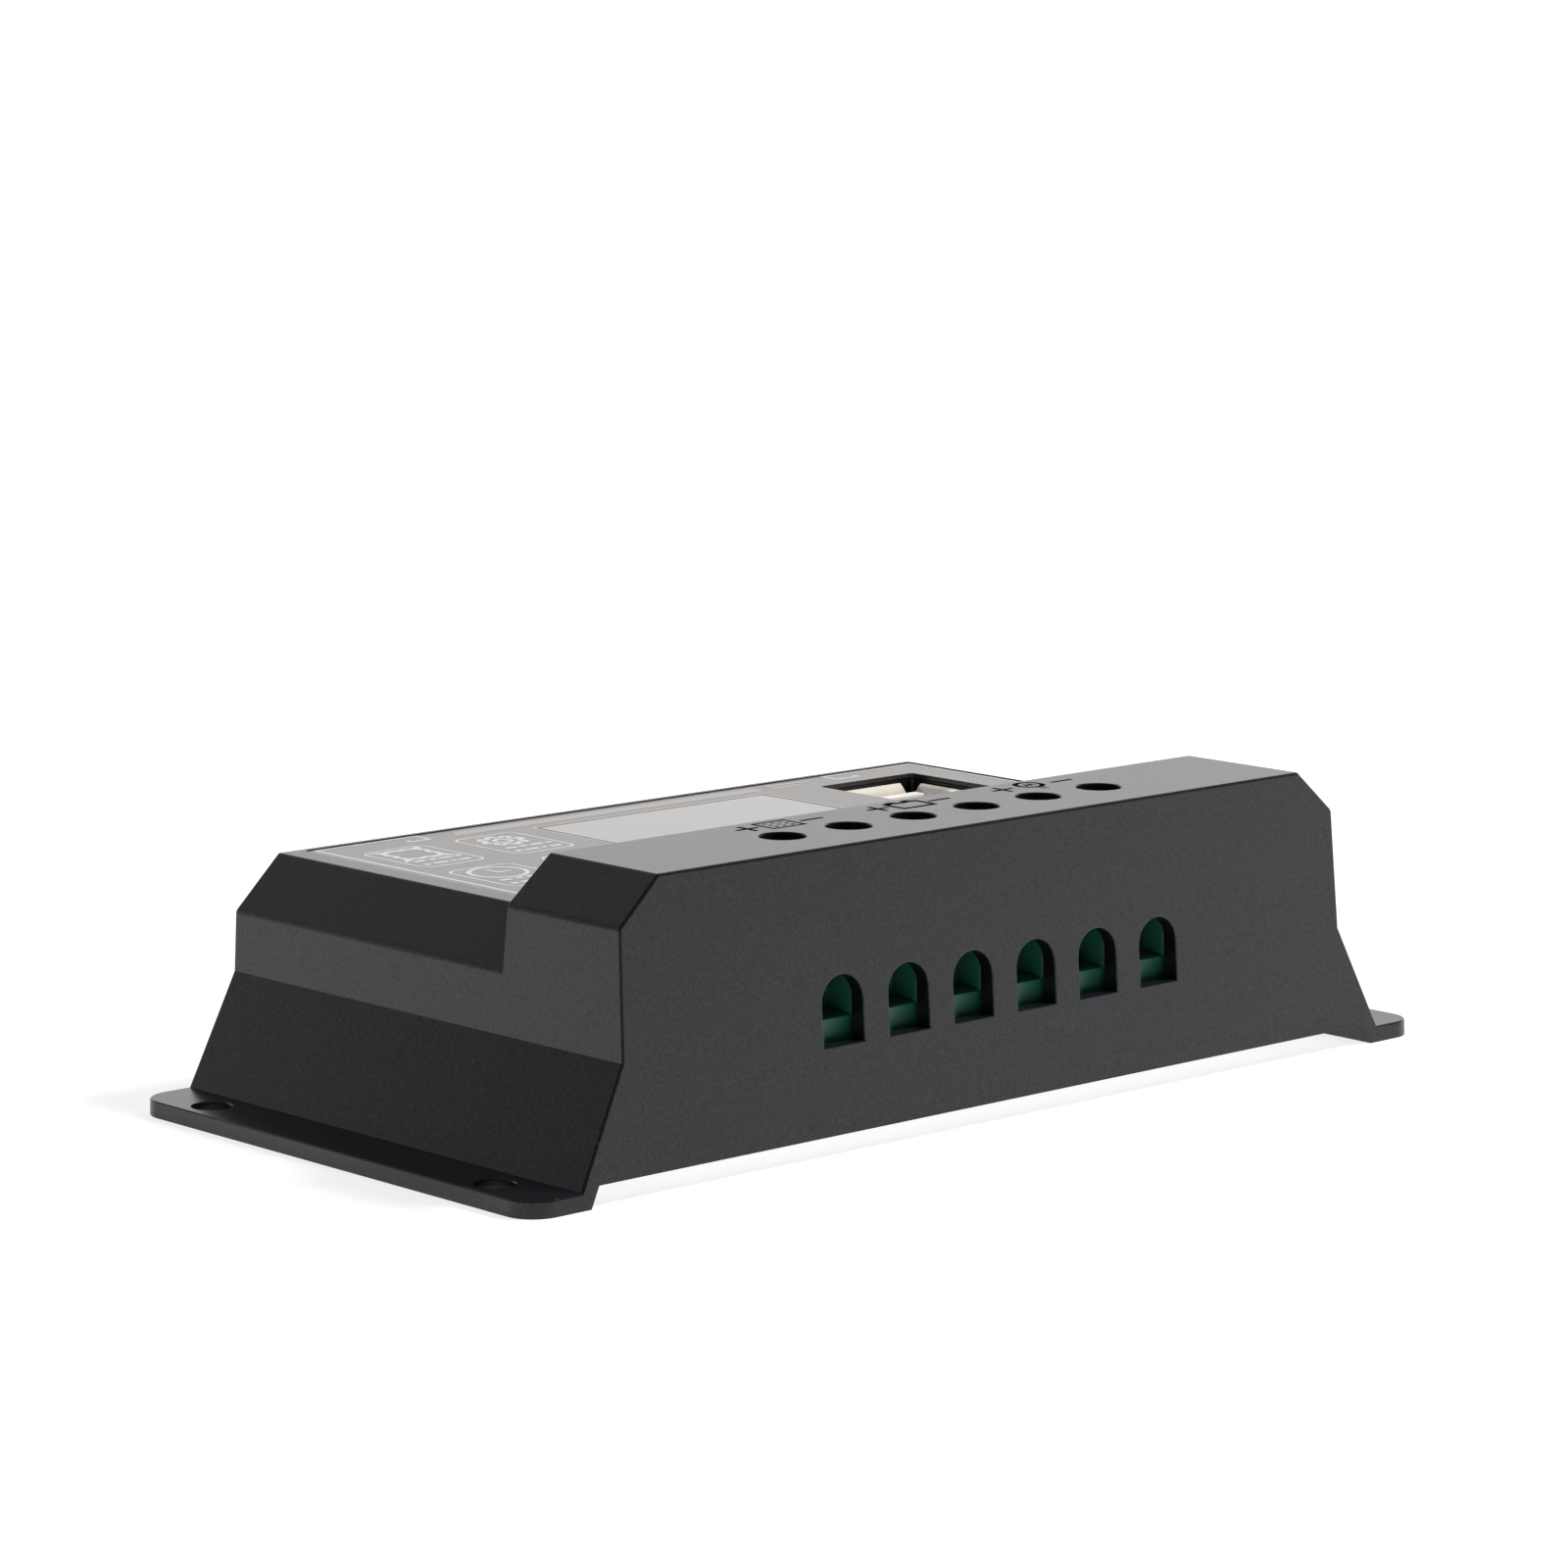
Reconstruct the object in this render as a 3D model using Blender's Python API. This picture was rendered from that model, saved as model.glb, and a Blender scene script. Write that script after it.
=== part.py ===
"""A wall-mounted solar charge controller with a display, two charging sockets and six wire terminals.

Frame: origin at the middle of the footprint on the mounting surface, +X along the long side, -Y out of the face that
the wires enter, +Z away from the mounting surface. Sizes are in millimetres, and MM turns them into metres.
"""

import math

import bmesh
import bpy
from mathutils import Vector

MM = 0.001
GAP = 0.1  # clearance between two pieces that touch in the real object

# Housing, measured over the outside
LENGTH = 152.0
WIDTH = 75.4
RIDGE_TOP = 36.9
RIM_TOP = 30.0
FLANGE_TOP = 2.1
SLOPE_FOOT_X = 68.1
KINK = (61.2, 15.9)  # x, z where the sloped skirt meets the upright end wall
END_DRAFT = 0.035  # each draft is mm of lean for each mm of height
FRONT_DRAFT = 0.0677
BACK_DRAFT = 0.0226
STEP_DRAFT = 0.086
RIDGE_CHAMFER_FOOT = 31.4
RIDGE_CHAMFER_X = 54.5
DECK_CHAMFER_FOOT = 23.5
DECK_CHAMFER_X = 54.3
STEP_Y = -16.0  # the ridge's rear wall, at the ridge's top
WALL = 2.0
DECK_CEILING = 27.6
SKIRT_CLEARANCE = 2.6  # height of the front and back walls above the mounting surface
SLOPE_WALL = 2.3  # the sloped skirt's wall, measured level
FLANGE_CORNER = 4.0
EDGE_ROUND = 0.9
OVERRUN = 3.0  # how far a cutter runs past the face it cuts

# Flange holes
FLANGE_HOLE = (72.3, 27.2, 2.4)  # x, y, radius

# Terminals
POLES = 6
PITCH = 10.8
TERMINAL_X = 0.3  # middle of the row
AXIS_Y = -25.9  # line of the screws
ACCESS_R = 2.88
WINDOW_HALF = 3.3
WINDOW_LOW = 13.25
WINDOW_TOP = 21.6
BLOCK_FRONT = -33.8
BLOCK_SHOULDER = 22.8  # above this the front leans back, clear of the housing's wall
BLOCK_CREST = -32.4
BLOCK_BACK = -18.6
BLOCK_LOW = 11.7
BLOCK_TOP = 33.5
SILL = 16.1  # foot of the wire's way into the clamp
LINTEL = 23.0
POCKET_HALF = 3.6
POCKET_BACK = -29.8
ENTRY_HALF = 3.3
CHAMBER_HALF = 3.4
CHAMBER_FRONT = -28.7
CHAMBER_BACK = -23.0
CHAMBER_LOW = 14.2
CHAMBER_TOP = 29.1
LEDGE_TOP = 30.1  # the screw's head rests here
LEG_SLOT = (-22.9, -20.0)  # lowest and highest y of the slot that the contact's leg goes down
LEG = (-22.0, -21.0)
LEG_END = 9.0
SCREW_R = 2.0
HEAD_R = 2.6
HEAD_HEIGHT = 2.4
WELL_R = 2.95
CAGE_HALF = 3.2
CAGE_HALF_Y = 2.6
CAGE_WALL = 1.0
CAGE_ROOF = 1.8  # its tapped top
CAGE_LOW = 14.7
CAGE_TOP = 25.3
BAR = (21.4, 22.6)  # lowest and highest z of the contact bar
BAR_HALF = 2.0

# Label, display, sockets and keys
RECESS_X = (-51.0, 54.0)
RECESS_Y = (-13.6, 36.0)
LABEL_TOP = 29.75
LABEL_THICK = 0.5
LCD_Z = (24.6, 27.3)
LCD_MARGIN = (2.6, 2.2)  # how far the glass runs past the window, in x and y
BACKLIGHT_Z = (21.9, 24.5)
BACKLIGHT_MARGIN = (1.2, 1.0)
HOLDER_WALL = 1.4
HEADER = (16.0, 11.0, 13.5)  # half x, lowest and highest y
DISPLAY_X = (-18.4, 20.8)
DISPLAY_Y = (9.0, 29.8)
SOCKET_X = (30.9, 48.1)
SOCKET_Y = (11.2, 29.6)
SHELL_HALF_X = 6.9
SHELL_HALF_Y = 8.0
SHELL_TOP = 28.2
SHELL_RIM = (8.4, 9.0, 0.5)  # half x, half y and thickness of the rim folded out at the top
SHELL_WALL = 0.6
PORT_Y = 4.5  # from the middle of the shell to the middle of a socket
PORT_HALF_Y = 2.6
PORT_FLOOR = 14.0
TONGUE = (5.6, 0.9, 27.4)  # half x, half y, top
BRIDGE_TOP = 27.8
KEY_Y = 0.0
KEY_SPACING = 12.0
KEY_R = 3.5
KEY_HOLE_R = 3.8
KEY_TOP = 30.9
KEY_NAMES = ("menu", "down", "up")

# Board and what holds it
BOARD_X = 52.5
BOARD_Y = (-33.5, 34.0)
BOARD = (10.0, 11.6)  # lowest and highest z
BOARD_BOSSES = ((-48.5, -29.5), (48.5, -29.5), (-49.5, 31.2), (49.5, 31.2))
BOARD_BOSS_R = 2.8
BOARD_HOLE = 1.7
BOARD_SLOT = (2.7, -22.5, -20.5)  # half x, lowest and highest y
PLATE_BOSSES = ((-56.5, -31.5), (56.5, -31.5), (-56.5, 31.5), (56.5, 31.5))
PLATE_BOSS_R = 3.5
PLATE_BOSS_TOP = 22.8
BOSS_ROOT = 0.6  # how far a board boss runs into the deck
PLATE_X = 64.6
PLATE_Y = 35.2
PLATE = (2.3, 3.8)
SCREW_3_R = 1.45
SCREW_3_HOLE = 1.6
SCREW_3_BORE = 11.0
SCREW_3_TIP = 0.6
PLATE_SCREW_END = 12.6
BOARD_SCREW_END = 20.6
SLOT_WIDTH = 0.8

# Power parts
MOSFET_X = (-30.0, -16.0, -2.0, 12.0)
MOSFET_Y = -6.0
PAD_MARGIN = (8.0, 9.0)
PAD_TOP = 4.4
CAN_R = 6.25
CAN_TOP = 26.4
CAN_PLACES = ((-34.0, 24.0), (-34.0, 9.0))
DRUM_R = 6.0
DRUM_HEIGHT = 8.6
DRUM_PLACE = (-34.0, -6.0, 0.0)
CHIP = ((25.0, 35.0), (-11.0, -1.0), 1.6)  # x, y, height
SOUNDER_R = 6.0
SOUNDER_HEIGHT = 8.6
SOUNDER_PLACE = (43.0, -6.0, 0.0)

PLASTIC, METAL = 0.0, 1.0


def clear_scene():
    for thing in list(bpy.data.objects):
        bpy.data.objects.remove(thing)


def material(name, colour, roughness, metallic):
    made = bpy.data.materials.new(name)
    made.use_nodes = True
    shader = made.node_tree.nodes["Principled BSDF"]
    shader.inputs["Base Color"].default_value = (*colour, 1.0)
    shader.inputs["Roughness"].default_value = roughness
    shader.inputs["Metallic"].default_value = metallic
    made.diffuse_color = (*colour, 1.0)
    return made


def finish(shape):
    """A mesh in metres from a bmesh in millimetres, with its faces pointing out."""
    bmesh.ops.scale(shape, vec=Vector((MM, MM, MM)), verts=shape.verts)
    bmesh.ops.recalc_face_normals(shape, faces=shape.faces)
    mesh = bpy.data.meshes.new("shape")
    shape.to_mesh(mesh)
    shape.free()
    return mesh


def add(name, mesh, look=None, place=(0.0, 0.0, 0.0), parent=None):
    """Links an object. place is in millimetres."""
    mesh.materials.clear()
    if look:
        mesh.materials.append(look)
    made = bpy.data.objects.new(name, mesh)
    bpy.context.scene.collection.objects.link(made)
    made.location = Vector(place) * MM
    if parent:
        made.parent = parent
        made.matrix_parent_inverse = parent.matrix_world.inverted()
    return made


def smooth(mesh, degrees=35.0):
    mesh.shade_smooth()
    mesh.set_sharp_from_angle(angle=math.radians(degrees))
    return mesh


def value(rule, height):
    return rule(height) if callable(rule) else rule


def extruded(outline, low, high, along):
    """A bmesh prism. along is the axis it runs on; low and high are its ends, as numbers or as rules of height z."""
    shape = bmesh.new()
    rings = []
    for end in (low, high):
        if along == "Z":
            points = [(x, y, end) for x, y in outline]
        elif along == "Y":
            points = [(x, value(end, z), z) for x, z in outline]
        else:
            points = [(end, y, z) for y, z in outline]
        rings.append([shape.verts.new(p) for p in points])
    shape.faces.new(rings[0])
    shape.faces.new(rings[1])
    for i in range(len(outline)):
        j = (i + 1) % len(outline)
        shape.faces.new((rings[0][i], rings[0][j], rings[1][j], rings[1][i]))
    return shape


def box(x, y, z):
    """A bmesh box from pairs of lowest and highest values."""
    return extruded([(x[0], y[0]), (x[1], y[0]), (x[1], y[1]), (x[0], y[1])], z[0], z[1], "Z")


def rod(radius, low, high, centre=(0.0, 0.0), sides=20):
    """A bmesh cylinder along Z."""
    outline = []
    for i in range(sides):
        turn = 2 * math.pi * (i + 0.5) / sides
        outline.append((centre[0] + radius * math.cos(turn), centre[1] + radius * math.sin(turn)))
    return extruded(outline, low, high, "Z")


def turned(profile, sides=20):
    """A bmesh turned about Z from (radius, z) points that start and end on the axis."""
    shape = bmesh.new()
    verts = [shape.verts.new((radius, 0.0, z)) for radius, z in profile]
    edges = [shape.edges.new(pair) for pair in zip(verts, verts[1:])]
    bmesh.ops.spin(
        shape,
        geom=verts + edges,
        cent=(0.0, 0.0, 0.0),
        axis=(0.0, 0.0, 1.0),
        angle=2 * math.pi,
        steps=sides,
        use_merge=True,
        use_duplicate=False,
    )
    bmesh.ops.remove_doubles(shape, verts=shape.verts, dist=1e-4)
    return shape


def together(*shapes):
    """One bmesh holding several separate shapes."""
    whole = bmesh.new()
    for shape in shapes:
        part = bpy.data.meshes.new("part")
        bmesh.ops.recalc_face_normals(shape, faces=shape.faces)
        shape.to_mesh(part)
        shape.free()
        whole.from_mesh(part)
        bpy.data.meshes.remove(part)
    return whole


def combined(base, *steps):
    """The mesh that results when each (operation, shape) step acts on the base shape, in turn."""
    body = add("body", finish(base))
    for operation, shape in steps:
        tool = add("tool", finish(shape))
        step = body.modifiers.new("step", "BOOLEAN")
        step.operation = operation
        step.object = tool
        bpy.context.view_layer.update()
        graph = bpy.context.evaluated_depsgraph_get()
        mesh = bpy.data.meshes.new_from_object(body.evaluated_get(graph))
        body.modifiers.clear()
        body.data = mesh
        bpy.data.objects.remove(tool)
    bpy.data.objects.remove(body)
    return mesh


def reopened(mesh):
    """A bmesh in millimetres from a finished mesh."""
    shape = bmesh.new()
    shape.from_mesh(mesh)
    bmesh.ops.scale(shape, vec=Vector((1 / MM, 1 / MM, 1 / MM)), verts=shape.verts)
    return shape


def mirrored(half):
    """A closed outline from its +X half, listed from the foot up."""
    return half + [(-x, z) for x, z in reversed(half)]


def inset(path, distance):
    """An open path moved sideways to its left by distance, with its corners kept sharp."""
    lines = []
    for start, end in zip(path, path[1:]):
        along = (Vector(end) - Vector(start)).normalized()
        left = Vector((-along.y, along.x)) * distance
        lines.append((Vector(start) + left, Vector(end) + left))
    moved = [lines[0][0]]
    for (a, b), (c, d) in zip(lines, lines[1:]):
        across = (b - a).cross(d - c)
        moved.append(a + (b - a) * ((c - a).cross(d - c) / across))
    moved.append(lines[-1][1])
    return [(point.x, point.y) for point in moved]


def front_y(z):
    return -(WIDTH / 2 - FRONT_DRAFT * z)


def back_y(z):
    return WIDTH / 2 - BACK_DRAFT * z


def step_y(z):
    return STEP_Y + STEP_DRAFT * (RIDGE_TOP - z)


def end_x(z):
    return KINK[0] - END_DRAFT * (z - KINK[1])


def slope_x(z):
    """The outside of the sloped skirt at a height."""
    lean = (SLOPE_FOOT_X - KINK[0]) / (KINK[1] - FLANGE_TOP)
    return SLOPE_FOOT_X - lean * (z - FLANGE_TOP)


def deck_outline(drop):
    """What is above the deck: a cutter's XZ outline, with the deck and its end chamfers moved in by drop."""
    foot = (end_x(DECK_CHAMFER_FOOT), DECK_CHAMFER_FOOT)
    edge = (DECK_CHAMFER_X, RIM_TOP)
    out = (foot[0] - edge[0], foot[1] - edge[1])
    far = (edge[0] + 1.8 * out[0], edge[1] + 1.8 * out[1])
    path = inset([far, edge, (-edge[0], edge[1]), (-far[0], far[1])], drop)
    wide, high = LENGTH, 2 * RIDGE_TOP
    return path + [(-wide, path[-1][1]), (-wide, high), (wide, high), (wide, path[0][1])]


def bevel_edges(shape, edges, width, segments):
    bmesh.ops.bevel(
        shape,
        geom=edges,
        offset=width,
        offset_type="OFFSET",
        affect="EDGES",
        segments=segments,
        profile=0.5,
        clamp_overlap=True,
    )


def round_flange_corners(shape):
    corners = []
    for edge in shape.edges:
        a, b = (v.co for v in edge.verts)
        upright = abs(a.x - b.x) < 0.01 and abs(a.z - b.z) > 1.0
        if upright and abs(a.x) > LENGTH / 2 - 0.1:
            corners.append(edge)
    bevel_edges(shape, corners, FLANGE_CORNER, 6)


def outer_shell():
    """The outside of the housing, solid, with its edges rounded."""
    half = [
        (LENGTH / 2, 0.0),
        (LENGTH / 2, FLANGE_TOP),
        (SLOPE_FOOT_X, FLANGE_TOP),
        KINK,
        (end_x(RIDGE_CHAMFER_FOOT), RIDGE_CHAMFER_FOOT),
        (RIDGE_CHAMFER_X, RIDGE_TOP),
    ]
    tall = extruded(mirrored(half), front_y, back_y, "Y")
    round_flange_corners(tall)
    above_deck = extruded(deck_outline(0.0), step_y, WIDTH, "Y")
    shape = reopened(combined(tall, ("DIFFERENCE", above_deck)))
    bmesh.ops.dissolve_limit(shape, angle_limit=0.01, verts=shape.verts, edges=shape.edges)
    sharp = []
    for edge in shape.edges:
        if len(edge.link_faces) == 2 and edge.calc_face_angle(0.0) > math.radians(30):
            middle = (edge.verts[0].co + edge.verts[1].co) / 2
            if middle.z > 0.1 and edge.is_convex:
                sharp.append(edge)
    bevel_edges(shape, sharp, EDGE_ROUND, 2)
    return shape


def cavity():
    """The space inside the walls, open below."""
    path = [
        (slope_x(-OVERRUN), -OVERRUN),
        KINK,
        (end_x(RIDGE_CHAMFER_FOOT), RIDGE_CHAMFER_FOOT),
        (RIDGE_CHAMFER_X, RIDGE_TOP),
        (-RIDGE_CHAMFER_X, RIDGE_TOP),
    ]
    half = inset(path, WALL)[:4]
    tall = extruded(mirrored(half), lambda z: front_y(z) + WALL, lambda z: back_y(z) - WALL, "Y")
    above = extruded(deck_outline(RIM_TOP - DECK_CEILING), lambda z: step_y(z) - WALL, WIDTH, "Y")
    return reopened(combined(tall, ("DIFFERENCE", above)))


def skirt_relief():
    """The space under the front and back walls, between the two feet."""
    outline = [
        (slope_x(-OVERRUN) - SLOPE_WALL, -OVERRUN),
        (slope_x(SKIRT_CLEARANCE) - SLOPE_WALL, SKIRT_CLEARANCE),
    ]
    return extruded(mirrored(outline), -WIDTH, WIDTH, "Y")


def bosses():
    """Posts that the bottom plate and the board screw into."""
    posts = []
    for x, y in PLATE_BOSSES:
        posts.append(rod(PLATE_BOSS_R, PLATE[1] + GAP, PLATE_BOSS_TOP, (x, y)))
    for x, y in BOARD_BOSSES:
        top = RIDGE_TOP - WALL / 2 if y < 0 else DECK_CEILING + BOSS_ROOT
        posts.append(rod(BOARD_BOSS_R, BOARD[1] + GAP, top, (x, y)))
    return together(*posts)


def pole_x(i):
    return TERMINAL_X + PITCH * (i - (POLES - 1) / 2)


def key_x(i):
    return sum(DISPLAY_X) / 2 + KEY_SPACING * (i - 1)


def arch(centre):
    """The outline of a wire window: a rectangle with a round head."""
    outline = [(centre - WINDOW_HALF, WINDOW_LOW), (centre + WINDOW_HALF, WINDOW_LOW)]
    steps = 10
    for i in range(steps + 1):
        turn = math.pi * i / steps
        x = centre + WINDOW_HALF * math.cos(turn)
        outline.append((x, WINDOW_TOP - WINDOW_HALF + WINDOW_HALF * math.sin(turn)))
    return outline


def housing_holes():
    """Every hole through the housing below the label's recess, as separate cutters."""
    through = (DECK_CEILING - 1.0, RIM_TOP)
    cutters = [box(DISPLAY_X, DISPLAY_Y, through), box(SOCKET_X, SOCKET_Y, through)]
    for i in range(len(KEY_NAMES)):
        cutters.append(rod(KEY_HOLE_R, *through, (key_x(i), KEY_Y)))
    for i in range(POLES):
        cutters.append(rod(ACCESS_R, RIDGE_TOP - 2 * WALL, RIDGE_TOP + OVERRUN, (pole_x(i), AXIS_Y), 24))
        cutters.append(extruded(arch(pole_x(i)), -WIDTH / 2 - OVERRUN, BLOCK_FRONT, "Y"))
    for side in (-1, 1):
        for end in (-1, 1):
            x, y, radius = FLANGE_HOLE
            cutters.append(rod(radius, -OVERRUN, FLANGE_TOP + OVERRUN, (end * x, side * y)))
    for x, y in PLATE_BOSSES + BOARD_BOSSES:
        low = PLATE[1] if (x, y) in PLATE_BOSSES else BOARD[1]
        cutters.append(rod(SCREW_3_HOLE, low - 1.0, low + SCREW_3_BORE, (x, y), 12))
    return together(*cutters)


def make_housing(look):
    recess = box(RECESS_X, RECESS_Y, (LABEL_TOP - LABEL_THICK - GAP, RIM_TOP + OVERRUN))
    mesh = combined(
        outer_shell(),
        ("DIFFERENCE", cavity()),
        ("DIFFERENCE", skirt_relief()),
        ("UNION", bosses()),
        ("DIFFERENCE", recess),
        ("DIFFERENCE", housing_holes()),
    )
    return add("housing", smooth(mesh), look)


def make_bottom_plate(look):
    low, high = PLATE
    hole = SCREW_3_HOLE + GAP
    sunk = 3.3
    profile = [(0, low - 1), (sunk, low - 1), (sunk, low), (hole, high), (hole, high + 1), (0, high + 1)]
    holes = []
    for x, y in PLATE_BOSSES:
        sink = turned(profile)
        bmesh.ops.translate(sink, vec=Vector((x, y, 0)), verts=sink.verts)
        holes.append(sink)
    plate = box((-PLATE_X, PLATE_X), (-PLATE_Y, PLATE_Y), PLATE)
    return add("bottom_plate", combined(plate, ("DIFFERENCE", together(*holes))), look)


def make_label(look):
    z = (LABEL_TOP - LABEL_THICK, LABEL_TOP)
    cut = (z[0] - 1, z[1] + 1)
    x = (RECESS_X[0] + GAP, RECESS_X[1] - GAP)
    y = (RECESS_Y[0] + GAP, RECESS_Y[1] - GAP)
    holes = [box(DISPLAY_X, DISPLAY_Y, cut), box(SOCKET_X, SOCKET_Y, cut)]
    for i in range(len(KEY_NAMES)):
        holes.append(rod(KEY_HOLE_R, *cut, (key_x(i), KEY_Y)))
    return add("label_overlay", combined(box(x, y, z), ("DIFFERENCE", together(*holes))), look)


def display_box(margin, z):
    """A box that runs past the display's opening by a margin in x and in y."""
    x = (DISPLAY_X[0] - margin[0], DISPLAY_X[1] + margin[0])
    y = (DISPLAY_Y[0] - margin[1], DISPLAY_Y[1] + margin[1])
    return box(x, y, z)


def make_display(window, glass, light, holder, pins):
    """The clear window in the label, and the display module under it."""
    add("display_window", finish(display_box((-GAP, -GAP), (DECK_CEILING + GAP, LABEL_TOP))), window)
    add("lcd_glass", finish(display_box(LCD_MARGIN, LCD_Z)), glass)
    add("lcd_backlight", finish(display_box(BACKLIGHT_MARGIN, BACKLIGHT_Z)), light)
    seat = BOARD[1] + GAP
    clear = [margin + 2 * GAP for margin in BACKLIGHT_MARGIN]
    outside = display_box([margin + HOLDER_WALL for margin in clear], (seat, BACKLIGHT_Z[1]))
    hollow = display_box(clear, (0.0, RIM_TOP))
    add("lcd_holder", combined(outside, ("DIFFERENCE", hollow)), holder)
    middle = sum(DISPLAY_X) / 2
    half, near, far = HEADER
    add("lcd_header", finish(box((middle - half, middle + half), (near, far), (seat, BACKLIGHT_Z[0] - GAP))), pins)


def make_board(look):
    cut = (BOARD[0] - OVERRUN, BOARD[1] + OVERRUN)
    holes = [rod(BOARD_HOLE, *cut, place, 12) for place in BOARD_BOSSES]
    half, near, far = BOARD_SLOT
    for i in range(POLES):
        holes.append(box((pole_x(i) - half, pole_x(i) + half), (near, far), cut))
    board = box((-BOARD_X, BOARD_X), BOARD_Y, BOARD)
    return add("main_board", combined(board, ("DIFFERENCE", together(*holes))), look)


def terminal_block_mesh():
    """A block of two poles, with its own origin on the board under the middle of its screws."""
    poles = (-PITCH / 2, PITCH / 2)
    outline = [
        (BLOCK_FRONT, BLOCK_LOW),
        (BLOCK_FRONT, BLOCK_SHOULDER),
        (BLOCK_CREST, BLOCK_TOP),
        (BLOCK_BACK, BLOCK_TOP),
        (BLOCK_BACK, BLOCK_LOW),
    ]
    outline = [(y - AXIS_Y, z) for y, z in outline]
    body = extruded(outline, -PITCH + GAP / 2, PITCH - GAP / 2, "X")
    chamber = [
        (CHAMBER_FRONT, CHAMBER_LOW),
        (LEG_SLOT[0], CHAMBER_LOW),
        (LEG_SLOT[0], BLOCK_LOW - OVERRUN),
        (LEG_SLOT[1], BLOCK_LOW - OVERRUN),
        (LEG_SLOT[1], BAR[1] + 0.4),
        (CHAMBER_BACK, BAR[1] + 0.4),
        (CHAMBER_BACK, CHAMBER_TOP),
        (CHAMBER_FRONT, CHAMBER_TOP),
    ]
    chamber = [(y - AXIS_Y, z) for y, z in chamber]
    pocket_y = (BLOCK_FRONT - AXIS_Y - OVERRUN, POCKET_BACK - AXIS_Y)
    entry_y = (POCKET_BACK - AXIS_Y - 0.5, CHAMBER_FRONT - AXIS_Y + 0.5)
    chambers = [extruded(chamber, x - CHAMBER_HALF, x + CHAMBER_HALF, "X") for x in poles]
    pockets = [box((x - POCKET_HALF, x + POCKET_HALF), pocket_y, (SILL, LINTEL)) for x in poles]
    entries = [box((x - ENTRY_HALF, x + ENTRY_HALF), entry_y, (SILL + 0.1, BAR[0] - 0.1)) for x in poles]
    wells = [rod(WELL_R, LEDGE_TOP, BLOCK_TOP + OVERRUN, (x, 0.0)) for x in poles]
    necks = [rod(SCREW_R + 2 * GAP, CHAMBER_TOP - 1.0, LEDGE_TOP + 1.0, (x, 0.0)) for x in poles]
    return combined(body, *[("DIFFERENCE", together(*cuts)) for cuts in (chambers, pockets, entries, wells, necks)])


def make_terminals(green, steel, zinc, tin):
    block = smooth(terminal_block_mesh())
    for i, name in enumerate(("solar", "battery", "load")):
        middle = (pole_x(2 * i) + pole_x(2 * i + 1)) / 2
        add("terminal_block_" + name, block, green, (middle, AXIS_Y, 0.0))
    screw, cage, contact = terminal_screw_mesh(), cage_mesh(), contact_mesh()
    for i in range(POLES):
        place = (pole_x(i), AXIS_Y, 0.0)
        add(f"terminal_screw_{i + 1}", screw, steel, place)
        add(f"clamp_cage_{i + 1}", cage, zinc, place)
        add(f"contact_bar_{i + 1}", contact, tin, place)


def slotted(profile, z, sides=20):
    """A turned screw with one straight slot in its head, from the lowest to the highest z."""
    slot = box((-2 * HEAD_R, 2 * HEAD_R), (-SLOT_WIDTH / 2, SLOT_WIDTH / 2), z)
    return smooth(combined(turned(profile, sides), ("DIFFERENCE", slot)))


def terminal_screw_mesh():
    seat = LEDGE_TOP + GAP
    low, top = BAR[1] + 2 * GAP, seat + HEAD_HEIGHT
    chamfer = 0.4
    profile = [
        (0, low), (SCREW_R - chamfer, low), (SCREW_R, low + chamfer), (SCREW_R, seat), (HEAD_R, seat),
        (HEAD_R, top - chamfer), (HEAD_R - chamfer, top), (0, top),
    ]
    return slotted(profile, (top - 1.1, top + 1.0))


def cage_mesh():
    """The clamp that the screw raises: a ring for the wire, with a tapped top."""
    outer = box((-CAGE_HALF, CAGE_HALF), (-CAGE_HALF_Y, CAGE_HALF_Y), (CAGE_LOW, CAGE_TOP))
    inner = CAGE_HALF - CAGE_WALL
    way = box((-inner, inner), (-2 * CAGE_HALF_Y, 2 * CAGE_HALF_Y), (CAGE_LOW + CAGE_WALL, CAGE_TOP - CAGE_ROOF))
    tapped = rod(SCREW_R + 0.12, CAGE_TOP - 2 * CAGE_ROOF, CAGE_TOP + 1.0)
    return smooth(combined(outer, ("DIFFERENCE", way), ("DIFFERENCE", tapped)))


def contact_mesh():
    """The fixed bar that the wire is pressed against, and its leg through the board."""
    tip = CHAMBER_FRONT + 2 * GAP
    outline = [(tip, BAR[0]), (LEG[0], BAR[0]), (LEG[0], LEG_END), (LEG[1], LEG_END), (LEG[1], BAR[1]), (tip, BAR[1])]
    return finish(extruded([(y - AXIS_Y, z) for y, z in outline], -BAR_HALF, BAR_HALF, "X"))


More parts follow.
